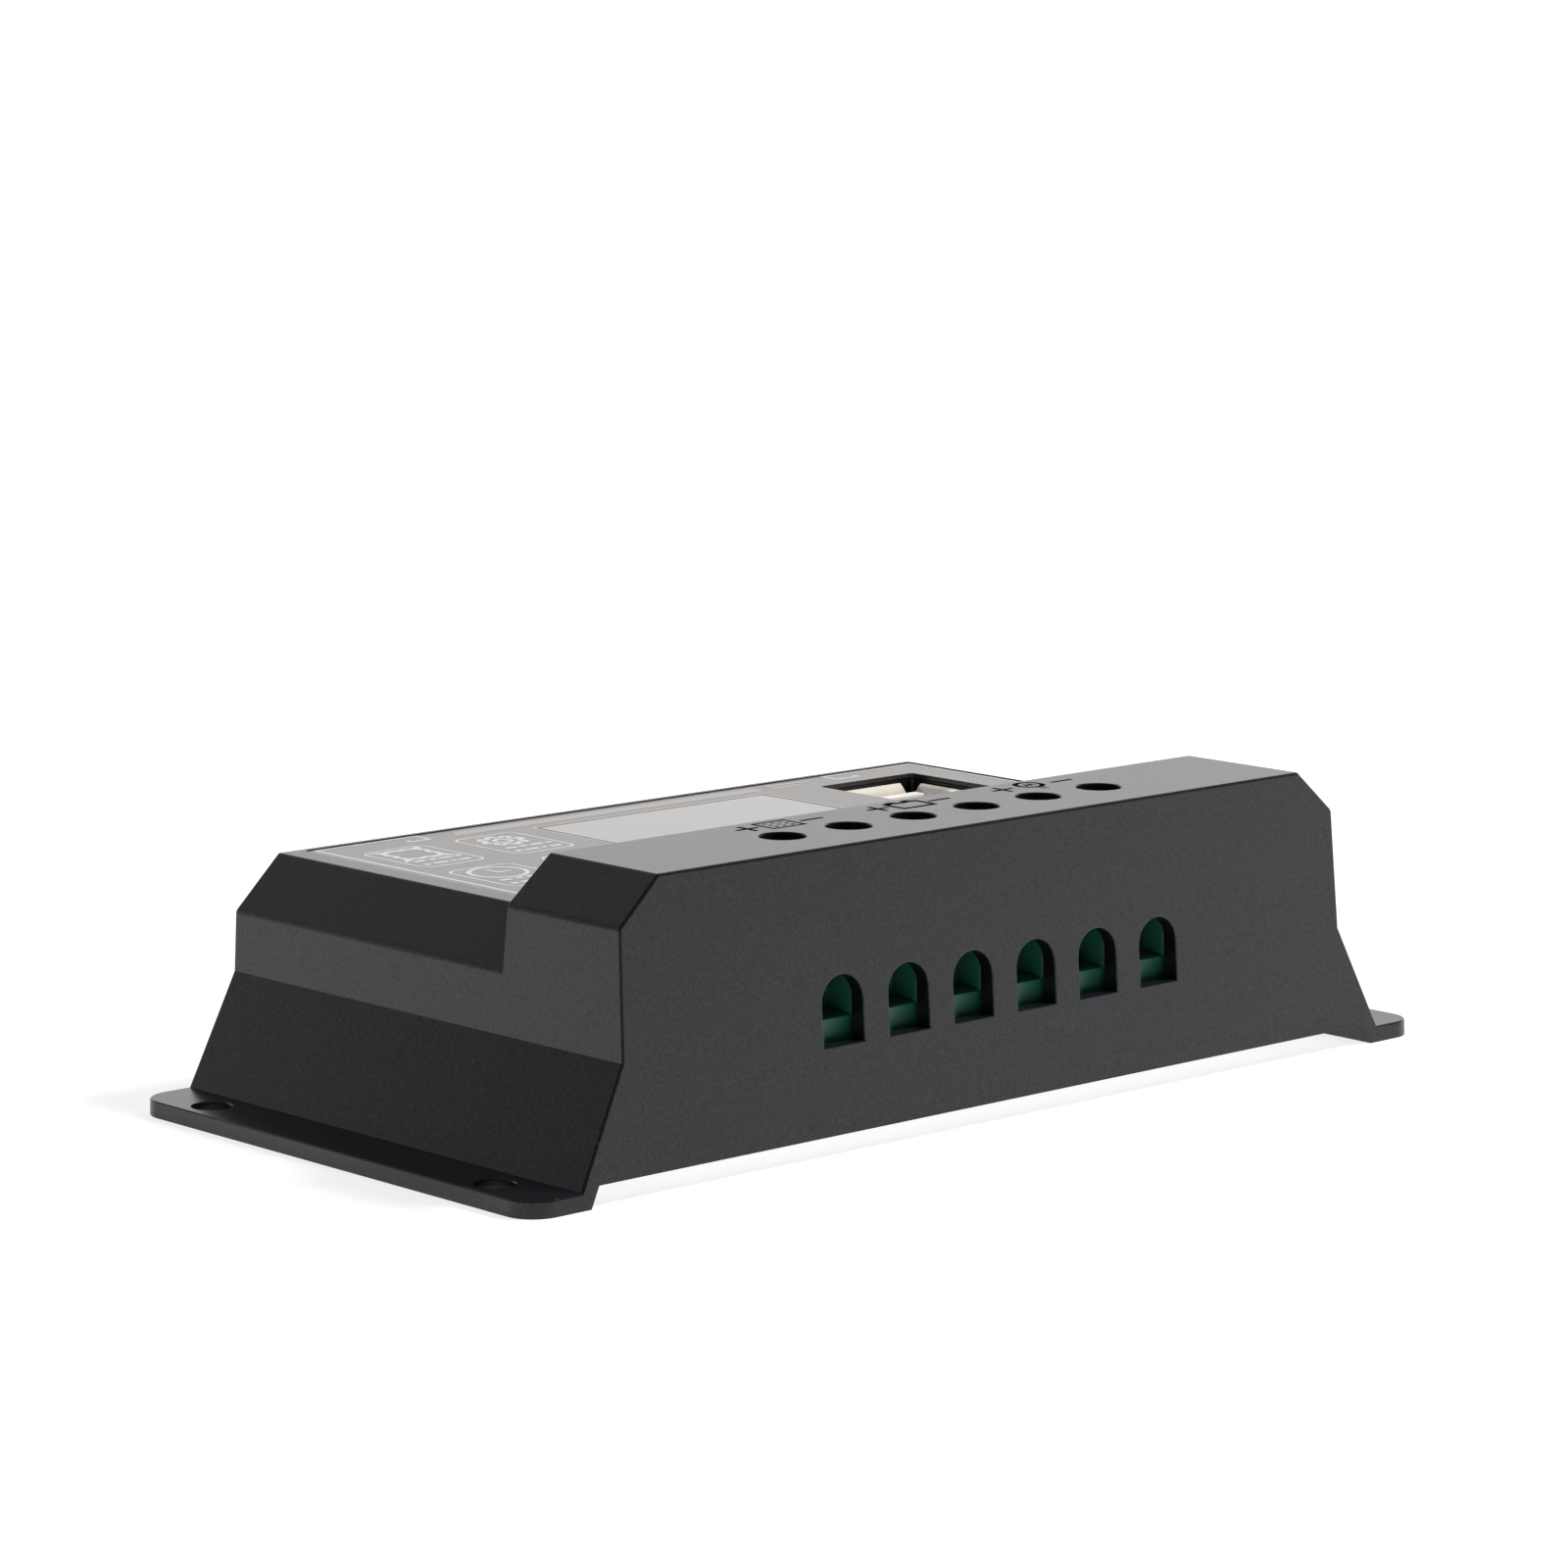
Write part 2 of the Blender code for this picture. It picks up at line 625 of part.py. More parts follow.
def make_sockets(shell, insulator):
    """Two sockets in one shell, facing up, with its rim folded out flat."""
    place = (sum(SOCKET_X) / 2, sum(SOCKET_Y) / 2, 0.0)
    body = box((-SHELL_HALF_X, SHELL_HALF_X), (-SHELL_HALF_Y, SHELL_HALF_Y), (BOARD[1] + GAP, SHELL_TOP))
    rim_x, rim_y, thick = SHELL_RIM
    rim = box((-rim_x, rim_x), (-rim_y, rim_y), (SHELL_TOP - thick, SHELL_TOP))
    inside = SHELL_HALF_X - SHELL_WALL
    z = (PORT_FLOOR, RIM_TOP)
    ports = [box((-inside, inside), (c - PORT_HALF_Y, c + PORT_HALF_Y), z) for c in (-PORT_Y, PORT_Y)]
    hollow = box((-inside, inside), (-1.1, 1.1), z)
    reach = PORT_Y + PORT_HALF_Y
    seat = box((-inside, inside), (-reach, reach), (PORT_FLOOR - 0.5, PORT_FLOOR + 1.8))
    mesh = combined(body, ("UNION", rim), ("DIFFERENCE", together(*ports, hollow)), ("DIFFERENCE", seat))
    add("usb_shell", mesh, shell, place)
    inside -= GAP
    reach -= GAP
    base = box((-inside, inside), (-reach, reach), (PORT_FLOOR - 0.4, PORT_FLOOR + 1.7))
    half_x, half_y, top = TONGUE
    tongues = [box((-half_x, half_x), (c - half_y, c + half_y), (PORT_FLOOR, top)) for c in (-PORT_Y, PORT_Y)]
    bridge = box((-inside, inside), (-1.0, 1.0), (PORT_FLOOR, BRIDGE_TOP))
    add("usb_insulator", combined(base, ("UNION", together(*tongues, bridge))), insulator, place)


def make_screws(steel):
    low = PLATE[0] + GAP / 2
    radius, tip = SCREW_3_R, SCREW_3_TIP
    sunk = [
        (0, low), (2.95, low), (radius, PLATE[1] - GAP), (radius, PLATE_SCREW_END - tip),
        (radius - 0.5, PLATE_SCREW_END), (0, PLATE_SCREW_END),
    ]
    plate_screw = slotted(sunk, (low - 1.0, low + 0.8), 16)
    seat = BOARD[0] - GAP
    pan = [
        (0, seat - 2.0), (2.0, seat - 2.0), (2.75, seat - 1.2), (2.75, seat), (radius, seat),
        (radius, BOARD_SCREW_END - tip), (radius - 0.5, BOARD_SCREW_END), (0, BOARD_SCREW_END),
    ]
    board_screw = slotted(pan, (seat - 3.0, seat - 1.1), 16)
    for i, (x, y) in enumerate(PLATE_BOSSES):
        add(f"plate_screw_{i + 1}", plate_screw, steel, (x, y, 0.0))
    for i, (x, y) in enumerate(BOARD_BOSSES):
        add(f"board_screw_{i + 1}", board_screw, steel, (x, y, 0.0))


def mosfet_mesh():
    """A switching transistor lying on its tab, with three legs bent up to the board."""
    low = PAD_TOP + GAP
    body = box((-5.0, 5.0), (-8.0, 1.2), (low, low + 4.4))
    tab = box((-4.9, 4.9), (0.5, 7.4), (low, low + 1.3))
    bend, end = (-10.0, -9.2), BOARD[0] - GAP
    leg = [(-7.5, low + 2.0), (bend[0], low + 2.0), (bend[0], end), (bend[1], end)]
    leg += [(bend[1], low + 2.8), (-7.5, low + 2.8)]
    pitch, half = 2.54, 0.45
    legs = [extruded(leg, x - half, x + half, "X") for x in (-pitch, 0.0, pitch)]
    return combined(body, ("UNION", tab), ("UNION", together(*legs)))


def can_mesh():
    """A capacitor, with the groove that its sleeve is rolled into."""
    seat = BOARD[1] + GAP
    waist = CAN_R - 0.35
    profile = [
        (0, seat), (CAN_R - 0.25, seat), (CAN_R, seat + 0.4), (CAN_R, seat + 1.5), (waist, seat + 2.0),
        (CAN_R, seat + 2.5), (CAN_R, CAN_TOP - 0.4), (waist, CAN_TOP), (0, CAN_TOP),
    ]
    return smooth(finish(turned(profile, 24)))


def drum_mesh():
    """The core that an inductor's wire is wound on: two flanges and a waist."""
    seat = BOARD[1] + GAP
    top = seat + DRUM_HEIGHT
    waist, flange = DRUM_R - 1.2, 1.2
    profile = [
        (0, seat), (DRUM_R, seat), (DRUM_R, seat + flange), (waist, seat + flange + 0.4),
        (waist, top - flange - 0.4), (DRUM_R, top - flange), (DRUM_R, top), (0, top),
    ]
    return smooth(finish(turned(profile, 24)))


def sounder_mesh():
    """A round sounder with a small hole in its top."""
    seat = BOARD[1] + GAP
    top = seat + SOUNDER_HEIGHT
    profile = [
        (0, seat), (SOUNDER_R, seat), (SOUNDER_R, top - 0.4), (SOUNDER_R - 0.4, top), (1.0, top), (1.0, top - 1.0),
        (0, top - 1.0),
    ]
    return smooth(finish(turned(profile, 24)))


def make_power_parts(black, pad, sleeve, ferrite):
    """Switching transistors under the board, and the tall parts on top of it."""
    pad_x = (MOSFET_X[0] - PAD_MARGIN[0], MOSFET_X[-1] + PAD_MARGIN[0])
    pad_y = (MOSFET_Y - PAD_MARGIN[1], MOSFET_Y + PAD_MARGIN[1])
    add("thermal_pad", finish(box(pad_x, pad_y, (PLATE[1] + GAP, PAD_TOP))), pad)
    mosfet = mosfet_mesh()
    for i, x in enumerate(MOSFET_X):
        add(f"mosfet_{i + 1}", mosfet, black, (x, MOSFET_Y + 1.5, 0.0))
    can = can_mesh()
    for i, (x, y) in enumerate(CAN_PLACES):
        add(f"capacitor_{i + 1}", can, sleeve, (x, y, 0.0))
    add("inductor", drum_mesh(), ferrite, DRUM_PLACE)
    seat = BOARD[1] + GAP
    add("control_chip", finish(box(CHIP[0], CHIP[1], (seat, seat + CHIP[2]))), black)
    add("buzzer", sounder_mesh(), black, SOUNDER_PLACE)


def make_keys(black, cap_look, stem_look):
    """Three push keys: a switch on the board, its stem, and the cap that shows. Origins are on the press axis."""
    seat = BOARD[1] + GAP
    half, height, stem_r = 3.0, 3.5, 1.7
    body = box((-half, half), (-half, half), (seat, seat + height))
    well = rod(stem_r + 2 * GAP, seat + 1.6, seat + height + 1.0, sides=16)
    switch = combined(body, ("DIFFERENCE", well))
    stem_top = KEY_TOP - 1.6
    stem = smooth(finish(rod(stem_r, seat + 2.2, stem_top, sides=16)))
    base, brim, rim = DECK_CEILING - 1.2, DECK_CEILING - 0.3, KEY_R + 0.7
    foot = stem_top + GAP
    cap = [
        (0, foot), (1.8, foot), (1.8, base), (rim, base), (rim, brim), (KEY_R, brim), (KEY_R, KEY_TOP - 0.6),
        (KEY_R - 0.6, KEY_TOP), (0, KEY_TOP + 0.1),
    ]
    cap_mesh = smooth(finish(turned(cap, 24)))
    for i, name in enumerate(KEY_NAMES):
        place = (key_x(i), KEY_Y, 0.0)
        add("switch_" + name, switch, black, place)
        add("key_stem_" + name, stem, stem_look, place)
        add("key_cap_" + name, cap_mesh, cap_look, place)


def main():
    clear_scene()
    black = material("black_housing", (0.022, 0.022, 0.024), 0.45, PLASTIC)
    green = material("green_terminal", (0.02, 0.22, 0.11), 0.4, PLASTIC)
    steel = material("screw_steel", (0.62, 0.62, 0.6), 0.3, METAL)
    nickel = material("nickel_shell", (0.75, 0.72, 0.66), 0.25, METAL)
    make_housing(black)
    make_bottom_plate(material("plate_aluminium", (0.7, 0.7, 0.72), 0.4, METAL))
    make_label(material("label_film", (0.03, 0.03, 0.034), 0.3, PLASTIC))
    make_display(
        material("clear_window", (0.8, 0.82, 0.84), 0.1, PLASTIC),
        material("lcd_glass", (0.32, 0.36, 0.33), 0.15, PLASTIC),
        material("backlight", (0.85, 0.85, 0.83), 0.5, PLASTIC),
        material("holder", (0.7, 0.7, 0.68), 0.5, PLASTIC),
        material("header", (0.03, 0.03, 0.03), 0.5, PLASTIC),
    )
    make_board(material("board_green", (0.02, 0.16, 0.07), 0.4, PLASTIC))
    make_terminals(green, steel, nickel, material("tinned_copper", (0.75, 0.74, 0.7), 0.35, METAL))
    make_sockets(nickel, material("white_insulator", (0.85, 0.85, 0.83), 0.4, PLASTIC))
    make_screws(steel)
    part_black = material("part_black", (0.03, 0.03, 0.03), 0.5, PLASTIC)
    make_power_parts(
        part_black,
        material("thermal_grey", (0.45, 0.47, 0.5), 0.8, PLASTIC),
        material("capacitor_sleeve", (0.02, 0.03, 0.06), 0.35, PLASTIC),
        material("ferrite", (0.08, 0.08, 0.08), 0.6, PLASTIC),
    )
    make_keys(part_black, material("key_cap", (0.03, 0.03, 0.032), 0.5, PLASTIC), steel)


main()
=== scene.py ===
"""Looks of the charge controller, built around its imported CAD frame.

Shapes are worked out in millimetres, and MM turns them into metres.
+X is along the long side, -Y the wire side and +Z up.
"""

import math

import bmesh
import bpy
from mathutils import Matrix, Vector


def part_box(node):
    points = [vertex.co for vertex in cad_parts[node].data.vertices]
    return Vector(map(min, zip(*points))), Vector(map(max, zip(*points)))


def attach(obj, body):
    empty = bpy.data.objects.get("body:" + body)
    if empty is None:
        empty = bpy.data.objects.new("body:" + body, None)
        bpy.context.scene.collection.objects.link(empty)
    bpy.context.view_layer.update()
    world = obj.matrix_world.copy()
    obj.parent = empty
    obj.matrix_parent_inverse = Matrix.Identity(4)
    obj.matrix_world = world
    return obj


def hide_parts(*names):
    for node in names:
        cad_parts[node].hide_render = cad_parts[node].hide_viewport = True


MM = 0.001
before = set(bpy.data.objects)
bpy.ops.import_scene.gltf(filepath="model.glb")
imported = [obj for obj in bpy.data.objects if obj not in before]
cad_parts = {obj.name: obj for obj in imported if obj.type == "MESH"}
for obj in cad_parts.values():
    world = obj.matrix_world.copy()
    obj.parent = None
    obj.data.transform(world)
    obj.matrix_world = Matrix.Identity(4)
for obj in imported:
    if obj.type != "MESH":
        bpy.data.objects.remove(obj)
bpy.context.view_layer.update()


def cad_box(node):
    """(lowest, highest) corner of a CAD node in millimetres."""
    low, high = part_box(node)
    return low / MM, high / MM


def centre_of(node):
    """(x, y) of the middle of a CAD node in millimetres."""
    low, high = cad_box(node)
    return (low.x + high.x) / 2, (low.y + high.y) / 2


def numbered(name, count):
    return [f"{name}_{i + 1}" for i in range(count)]


HOUSING_LOW, HOUSING_HIGH = cad_box("housing")
LENGTH = HOUSING_HIGH.x - HOUSING_LOW.x
WIDTH = HOUSING_HIGH.y - HOUSING_LOW.y
RIDGE_TOP = HOUSING_HIGH.z

# Housing profile, as in the CAD model
RIM_TOP = 30.0
FLANGE_TOP = 2.1
SLOPE_FOOT_X = 68.1
KINK = (61.2, 15.9)
END_DRAFT = 0.035
FRONT_DRAFT = 0.0677
BACK_DRAFT = 0.0226
STEP_DRAFT = 0.086
RIDGE_CHAMFER_FOOT = 31.4
RIDGE_CHAMFER_X = 54.5
DECK_CHAMFER_FOOT = 23.5
DECK_CHAMFER_X = 54.3
STEP_Y = -16.0
WALL = 2.0
DECK_CEILING = 27.6
SKIRT_CLEARANCE = 2.6
FLANGE_CORNER = 4.0
FLANGE_HOLE = (72.3, 27.2, 2.4)  # x, y and radius
OVERRUN = 3.0  # how far a cutter runs past the face it starts from

# Bosses inside the housing
PLATE_BOSS_R = 3.5
PLATE_BOSS_Z = (3.9, 22.8)
BOARD_BOSS_R = 2.8
BOARD_BOSS_LOW = 11.7
SCREW_WAY_R = 1.6
ACCESS_BOSS_LOW = 33.8

# Marks on the ridge
MARK_DEPTH = 0.45
MARK_LINE = 0.75
MARK_ROW = -19.4

# Terminals
POLES = 6
SCREWS = [cad_box(node) for node in numbered("terminal_screw", POLES)]
POLE_X = [(low.x + high.x) / 2 for low, high in SCREWS]
AXIS_Y = (SCREWS[0][0].y + SCREWS[0][1].y) / 2
PITCH = POLE_X[1] - POLE_X[0]
ACCESS_R = 2.88
WINDOW_HALF = 3.3
WINDOW_LOW = 13.25
WINDOW_TOP = 21.6

# Deck. The label stands 0.13 mm above the CAD's. Its print stands a hair above the film and reaches into it.
SEAT_GAP = 0.1
LABEL_LOW, LABEL_HIGH = cad_box("label_overlay")
LABEL_TOP = LABEL_HIGH.z + 0.13
PRINT_LOW = -0.03
PRINT_HIGH = 0.012
RECESS_X = (LABEL_LOW.x - SEAT_GAP, LABEL_HIGH.x + SEAT_GAP)
RECESS_Y = (LABEL_LOW.y - SEAT_GAP, LABEL_HIGH.y + SEAT_GAP)
DISPLAY_LOW, DISPLAY_HIGH = cad_box("display_window")
DISPLAY_X = (DISPLAY_LOW.x - SEAT_GAP, DISPLAY_HIGH.x + SEAT_GAP)
DISPLAY_Y = (DISPLAY_LOW.y - SEAT_GAP, DISPLAY_HIGH.y + SEAT_GAP)
SOCKET_X = (30.9, 48.1)
SOCKET_Y = (11.2, 29.6)
KEY_NAMES = ("menu", "down", "up")
KEY_BOXES = [cad_box("key_cap_" + name) for name in KEY_NAMES]
KEY_X = [(low.x + high.x) / 2 for low, high in KEY_BOXES]
KEY_Y = (KEY_BOXES[0][0].y + KEY_BOXES[0][1].y) / 2
KEY_R = 3.5

# Charging sockets. Their lips, tongues and bridge stand higher than the CAD's, nearer the rim.
SHELL_HALF_X = 6.9
SHELL_HALF_Y = 8.0
SHELL_TOP = 28.8
SHELL_RIM = (8.4, 9.0)
PORT_FLOOR = 14.0
TONGUE_TOP = 28.1
BRIDGE_TOP = 28.2
PORT_Y = 4.5  # from the middle of the shell to the middle of a socket
PORT_HALF_Y = 2.75

# Terminal blocks, and the screws in them
BLOCK_FRONT = -33.8
BLOCK_SHOULDER = 22.8
BLOCK_CREST = -32.4
POCKET_HALF = 3.6
POCKET_BACK = -29.8
SILL = 16.1
LINTEL = 23.0
SCREW_SEAT = 30.2
THREAD_PITCH = 0.7
SHANK_R = 2.0

# Brightness of the surround: at the horizon, beyond the object, overhead and behind the camera. Then the
# floor's own glow, and the key in watts.
HORIZON = 1.0
FAR_SIDE = 1.4
SKY = 0.32
DARK_SIDE = 0.12
FLOOR_GLOW = 0.8
KEY_POWER = 26.0
COOL = (0.88, 0.91, 1.0)
WARM = (1.0, 0.99, 0.97)

# How far round from the wire side the camera stands, and how far up
VIEW_AZIMUTH = math.radians(-42.49)
VIEW_ELEVATION = math.radians(9.21)


# ---------------------------------------------------------------- mesh tools


def finish(shape):
    """A mesh in metres from a bmesh in millimetres, with its faces pointing out."""
    bmesh.ops.scale(shape, vec=Vector((MM, MM, MM)), verts=shape.verts)
    bmesh.ops.recalc_face_normals(shape, faces=shape.faces)
    mesh = bpy.data.meshes.new("shape")
    shape.to_mesh(mesh)
    shape.free()
    return mesh


def reopened(mesh):
    """A bmesh in millimetres from a finished mesh."""
    shape = bmesh.new()
    shape.from_mesh(mesh)
    bmesh.ops.scale(shape, vec=Vector((1 / MM, 1 / MM, 1 / MM)), verts=shape.verts)
    return shape


def linked(name, data):
    made = bpy.data.objects.new(name, data)
    bpy.context.scene.collection.objects.link(made)
    return made


def applied(body):
    """The object's mesh with its modifiers in it."""
    bpy.context.view_layer.update()
    graph = bpy.context.evaluated_depsgraph_get()
    mesh = bpy.data.meshes.new_from_object(body.evaluated_get(graph))
    body.modifiers.clear()
    body.data = mesh
    return mesh


def combined(base, *steps):
    """The mesh that results when each (operation, shape) step acts on the base, in turn."""
    body = linked("body", base if isinstance(base, bpy.types.Mesh) else finish(base))
    for operation, shape in steps:
        tool = linked("tool", finish(shape))
        step = body.modifiers.new("step", "BOOLEAN")
        step.operation = operation
        step.object = tool
        mesh = applied(body)
        bpy.data.objects.remove(tool)
    bpy.data.objects.remove(body)
    return mesh


def together(*shapes):
    """One bmesh holding several separate shapes."""
    whole = bmesh.new()
    for shape in shapes:
        bmesh.ops.recalc_face_normals(shape, faces=shape.faces)
        part = bpy.data.meshes.new("part")
        shape.to_mesh(part)
        shape.free()
        whole.from_mesh(part)
        bpy.data.meshes.remove(part)
    return whole


def value(rule, height):
    return rule(height) if callable(rule) else rule


def lofted(rings):
    """A closed bmesh through rings of points, each ring with as many points as the next."""
    shape = bmesh.new()
    loops = [[shape.verts.new(point) for point in ring] for ring in rings]
    shape.faces.new(loops[0])
    shape.faces.new(loops[-1])
    for near, far in zip(loops, loops[1:]):
        for i in range(len(near)):
            j = (i + 1) % len(near)
            shape.faces.new((near[i], near[j], far[j], far[i]))
    return shape


def extruded(outline, low, high, along):
    """A prism. low and high are its ends on the axis called along, as numbers or as rules of height z."""
    rings = []
    for end in (low, high):
        if along == "Z":
            rings.append([(x, y, end) for x, y in outline])
        elif along == "Y":
            rings.append([(x, value(end, z), z) for x, z in outline])
        else:
            rings.append([(end, y, z) for y, z in outline])
    return lofted(rings)


def box(x, y, z):
    """A block between two numbers on each axis."""
    return extruded([(x[0], y[0]), (x[1], y[0]), (x[1], y[1]), (x[0], y[1])], z[0], z[1], "Z")


def circle(radius, centre=(0.0, 0.0), sides=48):
    points = []
    for i in range(sides):
        turn = 2 * math.pi * (i + 0.5) / sides
        points.append((centre[0] + radius * math.cos(turn), centre[1] + radius * math.sin(turn)))
    return points


def rounded_rectangle(x, y, radius, steps=6):
    """Points round a rectangle with arcs for corners."""
    points = []
    corners = ((x[1], y[1], 0), (x[0], y[1], 1), (x[0], y[0], 2), (x[1], y[0], 3))
    for cx, cy, quarter in corners:
        centre_x = cx - radius if cx == x[1] else cx + radius
        centre_y = cy - radius if cy == y[1] else cy + radius
        for i in range(steps + 1):
            turn = math.pi / 2 * (quarter + i / steps)
            points.append((centre_x + radius * math.cos(turn), centre_y + radius * math.sin(turn)))
    return points


def turned(profile, sides=48):
    """A solid turned about Z from (radius, z) points that start and end on the axis."""
    shape = bmesh.new()
    verts = [shape.verts.new((radius, 0.0, z)) for radius, z in profile]
    edges = [shape.edges.new(pair) for pair in zip(verts, verts[1:])]
    bmesh.ops.spin(
        shape,
        geom=verts + edges,
        cent=(0.0, 0.0, 0.0),
        axis=(0.0, 0.0, 1.0),
        angle=2 * math.pi,
        steps=sides,
        use_merge=True,
        use_duplicate=False,
    )
    bmesh.ops.remove_doubles(shape, verts=shape.verts, dist=1e-4)
    return shape


def moved(shape, x=0.0, y=0.0, z=0.0):
    bmesh.ops.translate(shape, vec=Vector((x, y, z)), verts=shape.verts)
    return shape


def shifted(mesh, x, y):
    """The finished mesh, moved by millimetres."""
    mesh.transform(Matrix.Translation((x * MM, y * MM, 0)))
    return mesh


def stroke(points, width, low, high, closed=False):
    """A flat ribbon along points, with mitred corners, from height low to height high."""
    count = len(points)
    left, right = [], []
    for i, point in enumerate(points):
        here = Vector(point)
        before = Vector(points[i - 1]) if i or closed else None
        after = Vector(points[(i + 1) % count]) if i < count - 1 or closed else None
        incoming = (here - before).normalized() if before else (after - here).normalized()
        outgoing = (after - here).normalized() if after else incoming
        side_in = Vector((-incoming.y, incoming.x))
        side_out = Vector((-outgoing.y, outgoing.x))
        mitre = (side_in + side_out).normalized()
        reach = width / 2 / max(0.35, mitre.dot(side_in))
        left.append(here + mitre * reach)
        right.append(here - mitre * reach)
    shape = bmesh.new()
    rows = []
    for side, height in ((left, low), (left, high), (right, high), (right, low)):
        rows.append([shape.verts.new((p.x, p.y, height)) for p in side])
    for i in range(count if closed else count - 1):
        j = (i + 1) % count
        for row, other in zip(rows, rows[1:] + rows[:1]):
            shape.faces.new((row[i], row[j], other[j], other[i]))
    if not closed:
        shape.faces.new([row[0] for row in rows])
        shape.faces.new([row[-1] for row in rows])
    return shape


def bevelled(mesh, width, segments=2, degrees=30):
    """The mesh with every edge sharper than degrees rounded by width millimetres."""
    body = linked("body", mesh)
    step = body.modifiers.new("round", "BEVEL")
    step.width = width * MM
    step.segments = segments
    step.limit_method = "ANGLE"
    step.angle_limit = math.radians(degrees)
    mesh = applied(body)
    bpy.data.objects.remove(body)
    return mesh


def place(name, mesh, look, body="base", stands_for=(), sharp=40):
    """Links a finished piece, shaded smooth up to sharp degrees, and tells the frame what it is."""
    mesh.materials.clear()
    mesh.materials.append(look)
    mesh.shade_smooth()
    mesh.set_sharp_from_angle(angle=math.radians(sharp))
    piece = linked(name, mesh)
    weighted = piece.modifiers.new("normals", "WEIGHTED_NORMAL")
    weighted.keep_sharp = True
    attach(piece, body)
    if stands_for:
        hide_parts(*stands_for)
    return piece


# ---------------------------------------------------------------- materials


def ranged_node(tree, source, low, high, to_low=0.0, to_high=1.0, kind="SMOOTHSTEP"):
    """A step from one value to another while source goes from low to high."""
    node = tree.nodes.new("ShaderNodeMapRange")
    node.interpolation_type = kind
    for name, level in zip(("From Min", "From Max", "To Min", "To Max"), (low, high, to_low, to_high)):
        node.inputs[name].default_value = level
    tree.links.new(source, node.inputs["Value"])
    return node.outputs["Result"]


def mixed_colour(tree, amount, under, over):
    """Two colours mixed by a node's output. Each colour is a tuple or a node's output."""
    node = tree.nodes.new("ShaderNodeMix")
    node.data_type = "RGBA"
    tree.links.new(amount, node.inputs["Factor"])
    for name, colour in (("A", under), ("B", over)):
        socket = next(s for s in node.inputs if s.name == name and s.type == "RGBA")
        if isinstance(colour, tuple):
            socket.default_value = (*colour, 1.0)
        else:
            tree.links.new(colour, socket)
    return next(s for s in node.outputs if s.type == "RGBA")


class Look:
    """A node material built step by step. Lengths are in millimetres, in the object's own coordinates."""

    def __init__(self, name, colour, roughness, metallic=0.0):
        self.made = bpy.data.materials.new(name)
        self.made.use_nodes = True
        self.made.diffuse_color = (*colour, 1.0)
        self.nodes = self.made.node_tree.nodes
        self.links = self.made.node_tree.links
        self.shader = self.nodes["Principled BSDF"]
        self.set(Base_Color=(*colour, 1.0), Roughness=roughness, Metallic=metallic)
        self.place = self.nodes.new("ShaderNodeTexCoord").outputs["Object"]
        self.height = None

    def set(self, **sockets):
        for name, amount in sockets.items():
            self.shader.inputs[name.replace("_", " ")].default_value = amount
        return self

    def stretched(self, x, y, z):
        """Coordinates scaled by an amount on each axis, for marks that run one way."""
        node = self.nodes.new("ShaderNodeMapping")
        node.inputs["Scale"].default_value = (x, y, z)
        self.links.new(self.place, node.inputs["Vector"])
        return node.outputs["Vector"]

    def noise(self, size, detail=3.0, rough=0.55, along=None):
        node = self.nodes.new("ShaderNodeTexNoise")
        node.inputs["Scale"].default_value = 1.0 / (size * MM)
        node.inputs["Detail"].default_value = detail
        node.inputs["Roughness"].default_value = rough
        self.links.new(along or self.place, node.inputs["Vector"])
        return node.outputs["Fac"]

    def cells(self, size, feature="F1", output="Distance"):
        node = self.nodes.new("ShaderNodeTexVoronoi")
        node.feature = feature
        node.inputs["Scale"].default_value = 1.0 / (size * MM)
        self.links.new(self.place, node.inputs["Vector"])
        return node.outputs[output]

    def ranged(self, source, low, high, to_low, to_high):
        return ranged_node(self.made.node_tree, source, low, high, to_low, to_high, "LINEAR")

    def maths(self, operation, first, second):
        node = self.nodes.new("ShaderNodeMath")
        node.operation = operation
        self.links.new(first, node.inputs[0])
        if isinstance(second, (int, float)):
            node.inputs[1].default_value = second
        else:
            self.links.new(second, node.inputs[1])
        return node.outputs["Value"]

    def blend(self, amount, under, over):
        return mixed_colour(self.made.node_tree, amount, under, over)

    def colour(self, source):
        self.links.new(source, self.shader.inputs["Base Color"])
        return self

    def roughness(self, source):
        self.links.new(source, self.shader.inputs["Roughness"])
        return self

    def bump(self, source, depth, strength=1.0):
        """Adds relief: depth is how far, in millimetres, the full range of source stands."""
        node = self.nodes.new("ShaderNodeBump")
        node.inputs["Distance"].default_value = depth * MM
        node.inputs["Strength"].default_value = strength
        self.links.new(source, node.inputs["Height"])
        if self.height:
            self.links.new(self.height, node.inputs["Normal"])
        self.height = node.outputs["Normal"]
        self.links.new(self.height, self.shader.inputs["Normal"])
        return self


PLASTIC_SHINE = 0.46


